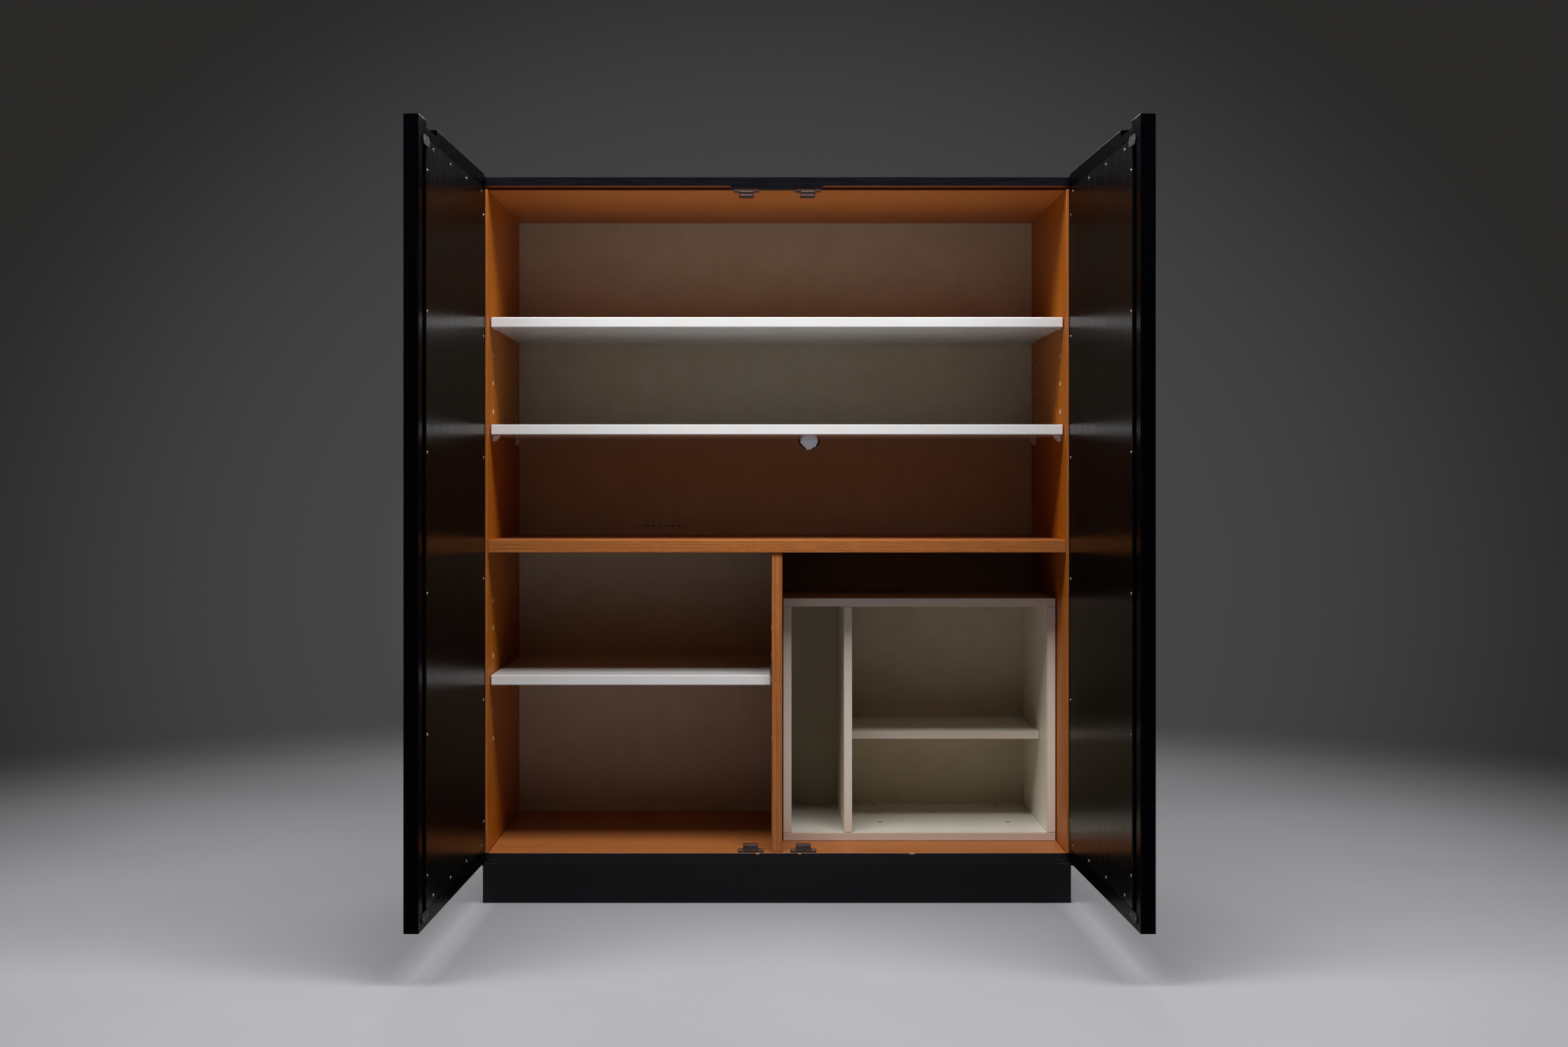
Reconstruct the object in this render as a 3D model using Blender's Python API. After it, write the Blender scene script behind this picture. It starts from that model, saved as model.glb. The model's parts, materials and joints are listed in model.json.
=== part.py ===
"""Two-door bar cabinet with both doors standing open, in metres, +Z up, front towards -Y.

The origin is on the floor, in the middle of the open cabinet's box. Depths are measured backwards from
the carcass front plane. A door is modelled shut, around its pivot line, and then turned open: in door
pieces s is the distance from the free edge and v the height above the pivot line towards the inside.
"""
import math

import bmesh
import bpy
from mathutils import Matrix, Vector

# Joints between boards
SEAM = 0.0003
ARRIS = 0.0008
ARRIS_ANGLE_DEG = 40.0

# Carcass
WIDTH = 1.120
HEIGHT = 1.355
DEPTH = 0.448
SIDE_THICK = 0.022
TOP_THICK = 0.022
BOTTOM_THICK = 0.018
BACK_THICK = 0.005
BACK_LAP = 0.010
FRONT_REBATE_DEPTH = 0.020
FRONT_REBATE_HEIGHT = 0.0055
LOWER_CLEAR = 0.558
MIDDLE_THICK = 0.023
MIDDLE_SETBACK = 0.002
DIVIDER_THICK = 0.0195
DIVIDER_SETBACK = 0.006

# Plinth
PLINTH_HEIGHT = 0.081
PLINTH_THICK = 0.018
PLINTH_SIDE_INSET = 0.009
PLINTH_FRONT_INSET = 0.026
PLINTH_BACK_INSET = 0.020

# Rough cable hole in the back; a wave is its share of the radius, its count round the hole and its phase
CABLE_HOLE_RADIUS = 0.021
CABLE_HOLE_X = 0.071
CABLE_HOLE_RISE = 0.201
CABLE_HOLE_CORNERS = 28
CABLE_HOLE_WAVES = ((0.09, 3, 0.0), (0.05, 7, 1.0))
CABLE_HOLE_JAG = 0.04

# Loose shelves and their pegged supports
SHELF_THICK = 0.019
SHELF_SETBACK = 0.025
SHELF_END_CLEAR = 0.0025
SHELF_ARRIS = 0.0015
SECOND_SHELF_CLEAR = 0.197
UPPER_SHELF_CLEAR = 0.182
LOWER_SHELF_CLEAR = 0.309
SUPPORT_REACH = 0.0125
SUPPORT_DROP = 0.011
SUPPORT_LIP = 0.0025
SUPPORT_FOOT = 0.004
SUPPORT_WIDTH = 0.012
SUPPORT_FRONT = 0.072
SUPPORT_REAR = 0.385
PEG_RADIUS = 0.0025
PEG_LENGTH = 0.008
PEG_CLEAR = 0.0004
RECESS_CLEAR = 0.002
RECESS_TIP = 0.0062
SUPPORT_SUNK = 0.0003

# Loose insert in the lower right compartment
INSERT_BOARD = 0.016
INSERT_SETBACK = 0.115
INSERT_LEFT_CLEAR = 0.003
INSERT_RIGHT_CLEAR = 0.002
INSERT_HEADROOM = 0.0915
INSERT_SLOT = 0.1005
INSERT_SHELF_CLEAR = 0.1657
INSERT_SHELF_SETBACK = 0.100
FLOOR_HOLE_RADIUS = 0.005
FLOOR_HOLE_INSET = 0.060
FLOOR_HOLE_FRONT = 0.110
FLOOR_HOLE_BACK = 0.0274

# Doors
DOOR_THICK = 0.024
DOOR_GAP = 0.0025
MEETING_GAP = 0.002
DOOR_OPEN_DEG = 92.0
FREE_STILE_WIDTH = 0.042
FREE_STILE_FLAT = 0.023
FREE_STILE_ROUND_DEPTH = 0.014
HINGE_STILE_WIDTH = 0.041
HINGE_STILE_REVEAL = 0.019
HINGE_CORNER_ROUND = 0.0065
RAIL_THICK = 0.0145
RAIL_REVEAL = 0.027
RAIL_LAP = 0.015
GROOVE_EDGE = 0.055
INNER_PANEL_THICK = 0.005
FRONT_PANEL_THICK = 0.008
NOTCH_FROM_FREE = 0.057
NOTCH_WIDTH = 0.077
NOTCH_DEEP = 0.0115

# Magnetic catches and their strike plates
CATCH_EAR_WIDTH = 0.048
CATCH_EAR_THICK = 0.005
CATCH_BODY_WIDTH = 0.028
CATCH_HEIGHT = 0.015
CATCH_DEEP = 0.016
CATCH_SETBACK = 0.0005
TOP_CATCH_X = 0.057
BOTTOM_CATCH_X = 0.049
CATCH_BLOCK_MARGIN = 0.005
STRIKE_WIDTH = 0.046
STRIKE_HEIGHT = 0.016
STRIKE_THICK = 0.0015
STRIKE_CORNER = 0.006
STRIKE_SHIFT = 0.006
STRIKE_DROP = 0.004

# Pivot hinges
PIVOT_FROM_FACE = 0.0095
PIVOT_FROM_EDGE = 0.0095
LEAF_THICK = 0.002
LEAF_CLEAR = 0.0015
LEAF_HALF_WIDTH = 0.007
LEAF_SCREWED = 0.050
FOOT_LEAF_SCREWED = 0.020
FOOT_LEAF_LENGTH = 0.040
DOOR_LEAF_LENGTH = 0.041
DOOR_LEAF_THICK = 0.0015
PIN_RADIUS = 0.003
PIN_CLEAR = 0.0005
PIN_LENGTH = 0.012
BOSS_RADIUS = 0.0065
LEAF_POCKET_CLEAR = 0.002

# Facets of round shapes
ROUND_SIDES = 20
ARC_STEPS = 6

# Places worked out from the driving dimensions
INNER_HALF = WIDTH / 2 - SIDE_THICK
CEILING = HEIGHT - TOP_THICK
FLOOR = PLINTH_HEIGHT + BOTTOM_THICK
MIDDLE_UNDER = FLOOR + LOWER_CLEAR
MIDDLE_TOP = MIDDLE_UNDER + MIDDLE_THICK
BACK_FACE = DEPTH - BACK_THICK - SEAM
SECOND_SHELF_UNDER = MIDDLE_TOP + SECOND_SHELF_CLEAR
UPPER_SHELF_UNDER = SECOND_SHELF_UNDER + SHELF_THICK + UPPER_SHELF_CLEAR
LOWER_SHELF_UNDER = FLOOR + LOWER_SHELF_CLEAR
RECESS_DEEP = SUPPORT_DROP + SEAM + SUPPORT_SUNK
UPPER_SUPPORT_TOP = UPPER_SHELF_UNDER + RECESS_DEEP
LOWER_SUPPORT_TOP = LOWER_SHELF_UNDER + RECESS_DEEP
DOOR_RISE = LEAF_THICK + LEAF_CLEAR
DOOR_LOW = PLINTH_HEIGHT + DOOR_RISE
DOOR_HIGH = HEIGHT + DOOR_RISE
DOOR_WIDTH = WIDTH / 2 - MEETING_GAP / 2
DOOR_OPEN = math.radians(DOOR_OPEN_DEG)
RAIL_WIDTH = RAIL_REVEAL + RAIL_LAP
PIVOT_X = WIDTH / 2 - PIVOT_FROM_EDGE
PIVOT_AHEAD = DOOR_GAP + PIVOT_FROM_FACE
INNER_FACE_V = PIVOT_FROM_FACE
FRONT_FACE_V = PIVOT_FROM_FACE - DOOR_THICK
DOOR_SPAN = DOOR_WIDTH - PIVOT_FROM_EDGE
DOOR_REACH = PIVOT_AHEAD + DOOR_SPAN * math.sin(DOOR_OPEN) - INNER_FACE_V * math.cos(DOOR_OPEN)
FRONT = (DOOR_REACH - DEPTH) / 2


def clear_scene():
    """Empty the scene, object by object."""
    for item in list(bpy.data.objects):
        bpy.data.objects.remove(item, do_unlink=True)


def make_material(name, colour, roughness, metallic=0.0):
    """A Principled material in one colour."""
    material = bpy.data.materials.new(name)
    material.use_nodes = True
    shader = material.node_tree.nodes["Principled BSDF"]
    shader.inputs["Base Color"].default_value = (*colour, 1.0)
    shader.inputs["Roughness"].default_value = roughness
    shader.inputs["Metallic"].default_value = metallic
    return material


clear_scene()
BLACK_OAK = make_material("ebonised_oak", (0.012, 0.012, 0.014), 0.38)
BLACK_PLYWOOD = make_material("black_plywood", (0.010, 0.009, 0.009), 0.30)
STAINED_OAK = make_material("stained_oak", (0.55, 0.21, 0.055), 0.42)
WHITE_BOARD = make_material("white_laminate", (0.78, 0.77, 0.74), 0.35)
CREAM_BOARD = make_material("cream_board", (0.74, 0.69, 0.58), 0.45)
BACK_BOARD = make_material("painted_back", (0.57, 0.51, 0.41), 0.60)
WHITE_PLASTIC = make_material("white_plastic", (0.80, 0.79, 0.75), 0.40)
BROWN_PLASTIC = make_material("brown_plastic", (0.060, 0.022, 0.012), 0.45)
NICKEL = make_material("aged_nickel", (0.50, 0.44, 0.36), 0.35, 1.0)
STEEL = make_material("dark_steel", (0.10, 0.10, 0.10), 0.45, 1.0)


def add_object(name, mesh, material, parent=None):
    """Put a mesh in the scene under its name, with its material."""
    mesh.materials.clear()
    mesh.materials.append(material)
    item = bpy.data.objects.new(name, mesh)
    bpy.context.scene.collection.objects.link(item)
    item.parent = parent
    return item


def ease(item, width=ARRIS, segments=1):
    """Ease the sharp arrises of a board."""
    bevel = item.modifiers.new("eased_arris", "BEVEL")
    bevel.width = width
    bevel.segments = segments
    bevel.limit_method = "ANGLE"
    bevel.angle_limit = math.radians(ARRIS_ANGLE_DEG)
    return item


def mesh_from(build):
    """A mesh filled by a function that works on an empty bmesh."""
    work = bmesh.new()
    build(work)
    bmesh.ops.recalc_face_normals(work, faces=work.faces)
    mesh = bpy.data.meshes.new("shape")
    work.to_mesh(mesh)
    work.free()
    return mesh


def box_mesh(x, y, z):
    """A box between pairs of limits, given in either order."""
    low = Vector((min(x), min(y), min(z)))
    high = Vector((max(x), max(y), max(z)))

    def build(work):
        place = Matrix.Translation((low + high) / 2) @ Matrix.Diagonal((*(high - low), 1.0))
        bmesh.ops.create_cube(work, size=1.0, matrix=place)

    return mesh_from(build)


def prism_mesh(outline, start, run):
    """An outline of 3-D points in one plane, moved to start and extruded along run."""
    def build(work):
        corners = [work.verts.new(Vector(start) + Vector(point)) for point in outline]
        face = work.faces.new(corners)
        grown = bmesh.ops.extrude_face_region(work, geom=[face])["geom"]
        moved = [part for part in grown if isinstance(part, bmesh.types.BMVert)]
        bmesh.ops.translate(work, verts=moved, vec=Vector(run))

    return mesh_from(build)


def rod_mesh(radius, start, run):
    """A round rod from start along run."""
    run = Vector(run)

    def build(work):
        turn = Vector((0, 0, 1)).rotation_difference(run).to_matrix().to_4x4()
        place = Matrix.Translation(Vector(start) + run / 2) @ turn
        bmesh.ops.create_cone(work, cap_ends=True, segments=ROUND_SIDES, radius1=radius, radius2=radius,
                              depth=run.length, matrix=place)

    return mesh_from(build)


def combine(item, tool_mesh, operation):
    """Cut a tool shape from an object's mesh, or join it on, and keep the result as its mesh."""
    tool = bpy.data.objects.new("tool", tool_mesh)
    bpy.context.scene.collection.objects.link(tool)
    change = item.modifiers.new("combine", "BOOLEAN")
    change.operation = operation
    change.solver = "EXACT"
    change.object = tool
    graph = bpy.context.evaluated_depsgraph_get()
    result = bpy.data.meshes.new_from_object(item.evaluated_get(graph))
    item.modifiers.clear()
    item.data = result
    bpy.data.objects.remove(tool, do_unlink=True)
    return item


def arc_points(centre, radius, first, last, steps=ARC_STEPS):
    """Points of an arc in a plane, from one angle in degrees to another."""
    angles = [math.radians(first + (last - first) * step / steps) for step in range(steps + 1)]
    return [(centre[0] + radius * math.cos(a), centre[1] + radius * math.sin(a)) for a in angles]


def board(name, x, depth, z, material, parent=None, arris=ARRIS, segments=1):
    """A flat board: limits across, behind the front plane and up."""
    mesh = box_mesh(x, [FRONT + value for value in depth], z)
    return ease(add_object(name, mesh, material, parent), arris, segments)


def build_sides():
    """Two upright sides, each rebated at the back and bored for the shelf supports."""
    heights = (SECOND_SHELF_UNDER, UPPER_SUPPORT_TOP)
    for name, side in (("side_left", -1), ("side_right", 1)):
        inner, outer = side * INNER_HALF, side * WIDTH / 2
        lap = side * (INNER_HALF + BACK_LAP)
        outline = [(inner, FRONT, 0), (outer, FRONT, 0), (outer, FRONT + DEPTH, 0),
                   (lap, FRONT + DEPTH, 0), (lap, FRONT + BACK_FACE, 0), (inner, FRONT + BACK_FACE, 0)]
        rise = CEILING - SEAM - PLINTH_HEIGHT
        panel = add_object(name, prism_mesh(outline, (0, 0, PLINTH_HEIGHT), (0, 0, rise)), BLACK_OAK)
        ease(panel)
        for height in heights + ((LOWER_SUPPORT_TOP,) if side < 0 else ()):
            bore_for_pegs(panel, inner, side, height)


def bore_for_pegs(panel, face, side, support_top):
    """The front and rear holes that one end of a shelf hangs on."""
    for depth in (SUPPORT_FRONT, SUPPORT_REAR):
        start = (face - side * PEG_CLEAR, FRONT + depth, support_top - SUPPORT_DROP / 2)
        run = (side * (PEG_LENGTH + 2 * PEG_CLEAR), 0, 0)
        combine(panel, rod_mesh(PEG_RADIUS + PEG_CLEAR, start, run), "DIFFERENCE")


def build_carcass():
    """Top, bottom, back, fixed middle shelf and centre divider."""
    rebate, step = FRONT + FRONT_REBATE_DEPTH, CEILING + FRONT_REBATE_HEIGHT
    rear, back = FRONT + DEPTH, FRONT + BACK_FACE
    outline = [(0, FRONT, HEIGHT), (0, rear, HEIGHT), (0, rear, CEILING + BACK_LAP),
               (0, back, CEILING + BACK_LAP), (0, back, CEILING), (0, rebate, CEILING),
               (0, rebate, step), (0, FRONT, step)]
    top_mesh = prism_mesh(outline, (-WIDTH / 2, 0, 0), (WIDTH, 0, 0))
    ease(add_object("top_panel", top_mesh, BLACK_OAK))
    span = (-INNER_HALF + SEAM, INNER_HALF - SEAM)
    outline = [(0, FRONT, FLOOR), (0, back, FLOOR), (0, back, FLOOR - BACK_LAP), (0, rear, FLOOR - BACK_LAP),
               (0, rear, PLINTH_HEIGHT), (0, FRONT, PLINTH_HEIGHT)]
    floor_mesh = prism_mesh(outline, (span[0], 0, 0), (span[1] - span[0], 0, 0))
    ease(add_object("bottom_panel", floor_mesh, STAINED_OAK))
    board("middle_shelf", span, (MIDDLE_SETBACK, BACK_FACE - SEAM), (MIDDLE_UNDER, MIDDLE_TOP), STAINED_OAK)
    divider = board("centre_divider", (-DIVIDER_THICK / 2, DIVIDER_THICK / 2),
                    (DIVIDER_SETBACK, BACK_FACE - SEAM), (FLOOR + SEAM, MIDDLE_UNDER - SEAM), STAINED_OAK)
    bore_for_pegs(divider, -DIVIDER_THICK / 2, 1, LOWER_SUPPORT_TOP)
    half_block = TOP_CATCH_X + CATCH_EAR_WIDTH / 2 + CATCH_BLOCK_MARGIN
    block_z = (CEILING, CEILING + FRONT_REBATE_HEIGHT - SEAM)
    board("catch_block", (-half_block, half_block), (0, FRONT_REBATE_DEPTH - SEAM), block_z, BLACK_OAK)


def build_back():
    """The thin back, let into the rebates, with a roughly broken cable hole."""
    half = INNER_HALF + BACK_LAP - SEAM
    limits = (FLOOR - BACK_LAP + SEAM, CEILING + BACK_LAP - SEAM)
    depth = (BACK_FACE + SEAM, DEPTH)
    panel = board("back_panel", (-half, half), depth, limits, BACK_BOARD, arris=ARRIS / 2)
    outline = []
    for corner in range(CABLE_HOLE_CORNERS):
        angle = math.tau * corner / CABLE_HOLE_CORNERS
        waves = sum(share * math.sin(count * angle + phase) for share, count, phase in CABLE_HOLE_WAVES)
        radius = CABLE_HOLE_RADIUS * (1 + waves + CABLE_HOLE_JAG * (-1) ** corner)
        outline.append((radius * math.cos(angle), 0, radius * math.sin(angle)))
    centre = (CABLE_HOLE_X, FRONT + BACK_FACE - BACK_THICK, MIDDLE_TOP + CABLE_HOLE_RISE)
    combine(panel, prism_mesh(outline, centre, (0, 3 * BACK_THICK, 0)), "DIFFERENCE")


def build_plinth():
    """Four boards on edge under the carcass, set in from its faces."""
    outer = WIDTH / 2 - PLINTH_SIDE_INSET
    inner = outer - PLINTH_THICK
    front, rear = PLINTH_FRONT_INSET, DEPTH - PLINTH_BACK_INSET
    height = (0, PLINTH_HEIGHT - SEAM)
    board("plinth_front", (-outer, outer), (front, front + PLINTH_THICK), height, BLACK_OAK)
    run = (front + PLINTH_THICK + SEAM, rear)
    board("plinth_left", (-outer, -inner), run, height, BLACK_OAK)
    board("plinth_right", (inner, outer), run, height, BLACK_OAK)
    span = (-inner + SEAM, inner - SEAM)
    board("plinth_back", span, (rear - PLINTH_THICK, rear), height, BLACK_OAK)


def support_mesh(side):
    """A wedge-shaped shelf support on its peg; its wall is at x = 0 and its top at z = 0."""
    profile = [(0, 0), (SUPPORT_REACH, 0), (SUPPORT_REACH, -SUPPORT_LIP), (SUPPORT_FOOT, -SUPPORT_DROP),
               (0, -SUPPORT_DROP)]
    outline = [(-side * reach, 0, drop) for reach, drop in profile]
    wedge = prism_mesh(outline, (0, -SUPPORT_WIDTH / 2, 0), (0, SUPPORT_WIDTH, 0))
    item = add_object("wedge", wedge, WHITE_PLASTIC)
    peg = rod_mesh(PEG_RADIUS, (-side * SUPPORT_FOOT / 2, 0, -SUPPORT_DROP / 2),
                   (side * (PEG_LENGTH + SUPPORT_FOOT / 2), 0, 0))
    mesh = combine(item, peg, "UNION").data
    bpy.data.objects.remove(item, do_unlink=True)
    return mesh


def recess_mesh(side, place):
    """The round-ended space that a shelf leaves for a support, whose top meets its wall at place."""
    radius = SUPPORT_WIDTH / 2 + RECESS_CLEAR
    middle = (SUPPORT_REACH + RECESS_TIP - radius, 0)
    outline = arc_points(middle, radius, 90, -90, 2 * ARC_STEPS) + [(0, -radius), (0, radius)]
    return prism_mesh([(-side * x, y, 0) for x, y in outline], place, (0, 0, -2 * RECESS_DEEP))


def build_shelves():
    """Three loose shelves on four pegged supports each; two of them lie over their supports in recesses."""
    meshes = {side: support_mesh(side) for side in (-1, 1)}
    shelves = (("upper_shelf", UPPER_SHELF_UNDER, UPPER_SUPPORT_TOP, INNER_HALF),
               ("second_shelf", SECOND_SHELF_UNDER, SECOND_SHELF_UNDER, INNER_HALF),
               ("lower_shelf", LOWER_SHELF_UNDER, LOWER_SUPPORT_TOP, -DIVIDER_THICK / 2))
    for name, under, support_top, right in shelves:
        span = (-INNER_HALF + SHELF_END_CLEAR, right - SHELF_END_CLEAR)
        depth = (SHELF_SETBACK, BACK_FACE - SEAM)
        height = (under, under + SHELF_THICK)
        shelf = board(name, span, depth, height, WHITE_BOARD, arris=SHELF_ARRIS, segments=2)
        for end, side, wall in (("left", -1, -INNER_HALF), ("right", 1, right)):
            for row, distance in (("front", SUPPORT_FRONT), ("rear", SUPPORT_REAR)):
                item = add_object(f"{name}_support_{end}_{row}", meshes[side], WHITE_PLASTIC)
                item.location = (wall - side * SEAM, FRONT + distance, support_top - SEAM)
                if support_top > under:
                    combine(shelf, recess_mesh(side, (wall, FRONT + distance, support_top)), "DIFFERENCE")


def build_insert():
    """The loose box of shelves in the lower right compartment."""
    left = DIVIDER_THICK / 2 + INSERT_LEFT_CLEAR
    right = INNER_HALF - INSERT_RIGHT_CLEAR
    low = FLOOR + SEAM
    high = MIDDLE_UNDER - INSERT_HEADROOM
    depth = (INSERT_SETBACK, BACK_FACE - SEAM)
    between = (low + INSERT_BOARD + SEAM, high - INSERT_BOARD - SEAM)
    slide = bpy.data.objects.new("insert_slide", None)
    slide.location = ((left + right) / 2, FRONT + INSERT_SETBACK, low)
    bpy.context.scene.collection.objects.link(slide)
    divider = left + INSERT_BOARD + INSERT_SLOT
    shelf_low = between[0] + INSERT_SHELF_CLEAR
    shelf_x = (divider + INSERT_BOARD + SEAM, right - INSERT_BOARD - SEAM)
    pieces = (("insert_top", (left, right), depth, (high - INSERT_BOARD, high)),
              ("insert_bottom", (left, right), depth, (low, low + INSERT_BOARD)),
              ("insert_left", (left, left + INSERT_BOARD), depth, between),
              ("insert_right", (right - INSERT_BOARD, right), depth, between),
              ("insert_divider", (divider, divider + INSERT_BOARD), depth, between),
              ("insert_shelf", shelf_x, (INSERT_SETBACK + INSERT_SHELF_SETBACK, depth[1]),
               (shelf_low, shelf_low + INSERT_BOARD)))
    for name, x, run, z in pieces:
        item = board(name, x, run, z, CREAM_BOARD)
        if name == "insert_bottom":
            drill_floor(item, shelf_x, depth, low)
        item.parent = slide
        item.matrix_parent_inverse = Matrix.Translation(slide.location).inverted()


def drill_floor(item, limits, depth, low):
    """Four holes through the insert's floor, near the corners of its wide bay."""
    for x in (limits[0] + FLOOR_HOLE_INSET, limits[1] - FLOOR_HOLE_INSET):
        for back in (depth[0] + FLOOR_HOLE_FRONT, depth[1] - FLOOR_HOLE_BACK):
            start = (x, FRONT + back, low - INSERT_BOARD)
            drill = rod_mesh(FLOOR_HOLE_RADIUS, start, (0, 0, 3 * INSERT_BOARD))
            combine(item, drill, "DIFFERENCE")


def build_catches():
    """Four magnetic catches: two under the top, two on the floor."""
    half_ear, half_body = CATCH_EAR_WIDTH / 2, CATCH_BODY_WIDTH / 2
    profile = [(-half_ear, 0), (half_ear, 0), (half_ear, CATCH_EAR_THICK), (half_body, CATCH_EAR_THICK),
               (half_body, CATCH_HEIGHT), (-half_body, CATCH_HEIGHT), (-half_body, CATCH_EAR_THICK),
               (-half_ear, CATCH_EAR_THICK)]
    rows = (("top", TOP_CATCH_X, CEILING - SEAM, -1), ("bottom", BOTTOM_CATCH_X, FLOOR + SEAM, 1))
    for row, x, base, up in rows:
        for end, side in (("left", -1), ("right", 1)):
            outline = [(side * x + across, 0, base + up * rise) for across, rise in profile]
            mesh = prism_mesh(outline, (0, FRONT + CATCH_SETBACK, 0), (0, CATCH_DEEP, 0))
            ease(add_object(f"{row}_catch_{end}", mesh, BROWN_PLASTIC))


def build_carcass_leaves(end, side):
    """The two hinge leaves that are screwed to the carcass: one on its top, one under it."""
    pivot_y = FRONT - PIVOT_AHEAD
    nose = arc_points((0, 0), LEAF_HALF_WIDTH, 180, 360)
    tail = PIVOT_AHEAD + LEAF_SCREWED
    outline = [(x, y, 0) for x, y in nose + [(LEAF_HALF_WIDTH, tail), (-LEAF_HALF_WIDTH, tail)]]
    start = (side * PIVOT_X, pivot_y, HEIGHT + SEAM)
    leaf = add_object(f"top_leaf_{end}", prism_mesh(outline, start, (0, 0, LEAF_THICK)), STEEL)
    eye = rod_mesh(PIN_RADIUS + PIN_CLEAR, (start[0], pivot_y, HEIGHT - LEAF_THICK), (0, 0, 4 * LEAF_THICK))
    combine(leaf, eye, "DIFFERENCE")
    screwed, tail = PIVOT_AHEAD + SEAM, PIVOT_AHEAD + FOOT_LEAF_SCREWED
    inward = FOOT_LEAF_LENGTH - LEAF_HALF_WIDTH
    outline = [(x, y, 0) for x, y in nose + [(LEAF_HALF_WIDTH, tail)]]
    outline += [(-inward, tail, 0), (-inward, screwed, 0), (-LEAF_HALF_WIDTH, screwed, 0)]
    outline = [(side * x, y, z) for x, y, z in outline]
    start = (side * PIVOT_X, pivot_y, PLINTH_HEIGHT - SEAM - LEAF_THICK)
    leaf = add_object(f"foot_leaf_{end}", prism_mesh(outline, start, (0, 0, LEAF_THICK)), STEEL)
    middle = start[2] + LEAF_THICK / 2
    boss = rod_mesh(BOSS_RADIUS, (start[0], pivot_y, middle), (0, 0, DOOR_LOW - SEAM - middle))
    combine(leaf, boss, "UNION")
    pin = rod_mesh(PIN_RADIUS, (start[0], pivot_y, middle), (0, 0, DOOR_LOW + PIN_LENGTH - middle))
    combine(leaf, pin, "UNION")


def build_door(end, side):
    """One door, modelled shut around its pivot line and turned open by its empty."""
    pivot = bpy.data.objects.new(f"{end}_door_pivot", None)
    pivot.location = (side * PIVOT_X, FRONT - PIVOT_AHEAD, 0)
    pivot.rotation_euler = (0, 0, side * DOOR_OPEN)
    bpy.context.scene.collection.objects.link(pivot)

    def across(s):
        return -side * (DOOR_SPAN - s)

    def piece(name, s, v, z, material=BLACK_OAK):
        mesh = box_mesh([across(value) for value in s], v, z)
        return add_object(f"{end}_{name}", mesh, material)

    def cut(item, s, v, z):
        combine(item, box_mesh([across(value) for value in s], v, z), "DIFFERENCE")

    rails_from = FREE_STILE_WIDTH + SEAM
    rails_to = DOOR_WIDTH - HINGE_STILE_WIDTH - SEAM
    full_v = (FRONT_FACE_V, INNER_FACE_V)
    rail_back = INNER_FACE_V - RAIL_THICK
    panel_bed = INNER_FACE_V - INNER_PANEL_THICK - SEAM
    above = INNER_FACE_V + DOOR_THICK
    panel_z = (DOOR_LOW + RAIL_REVEAL, DOOR_HIGH - RAIL_REVEAL)
    pieces = [free_stile(end, across, full_v), hinge_stile(end, side, full_v)]
    panel_to = DOOR_WIDTH - HINGE_STILE_REVEAL
    cut(pieces[1], (rails_to - DOOR_THICK, panel_to), (panel_bed, above), panel_z)

    rail = piece("top_rail", (rails_from, rails_to), (rail_back, INNER_FACE_V),
                 (DOOR_HIGH - RAIL_WIDTH, DOOR_HIGH))
    ease(rail)
    cut(rail, (GROOVE_EDGE, DOOR_WIDTH), (panel_bed, above), (DOOR_LOW, panel_z[1]))
    cut(rail, (NOTCH_FROM_FREE, NOTCH_FROM_FREE + NOTCH_WIDTH), (-above, above),
        (DOOR_HIGH - NOTCH_DEEP, DOOR_HIGH + DOOR_THICK))
    pieces.append(rail)
    rail = piece("bottom_rail", (rails_from, rails_to), (rail_back, INNER_FACE_V),
                 (DOOR_LOW, DOOR_LOW + RAIL_WIDTH))
    ease(rail)
    cut(rail, (0, DOOR_WIDTH), (panel_bed, above), (panel_z[0], DOOR_HIGH))
    pieces.append(rail)

    front_v = rail_back - SEAM
    panel = piece("front_panel", (rails_from, rails_to), (front_v - FRONT_PANEL_THICK, front_v),
                  (DOOR_LOW, DOOR_HIGH))
    pieces.append(ease(panel))
    panel = piece("inner_panel", (GROOVE_EDGE + SEAM, panel_to - SEAM), (panel_bed + SEAM, INNER_FACE_V),
                  (panel_z[0] + SEAM, panel_z[1] - SEAM), BLACK_PLYWOOD)
    pieces.append(ease(panel, ARRIS / 2))

    strikes = (("top_strike", TOP_CATCH_X, CEILING - CATCH_HEIGHT / 2),
               ("bottom_strike", BOTTOM_CATCH_X, FLOOR + CATCH_HEIGHT / 2 - STRIKE_DROP))
    for name, catch_x, z in strikes:
        middle = catch_x - MEETING_GAP / 2 - STRIKE_SHIFT
        pieces.append(strike_plate(f"{end}_{name}", across(middle), z))
    pieces.append(door_leaf(end, side))
    for item in pieces:
        item.parent = pivot


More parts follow.
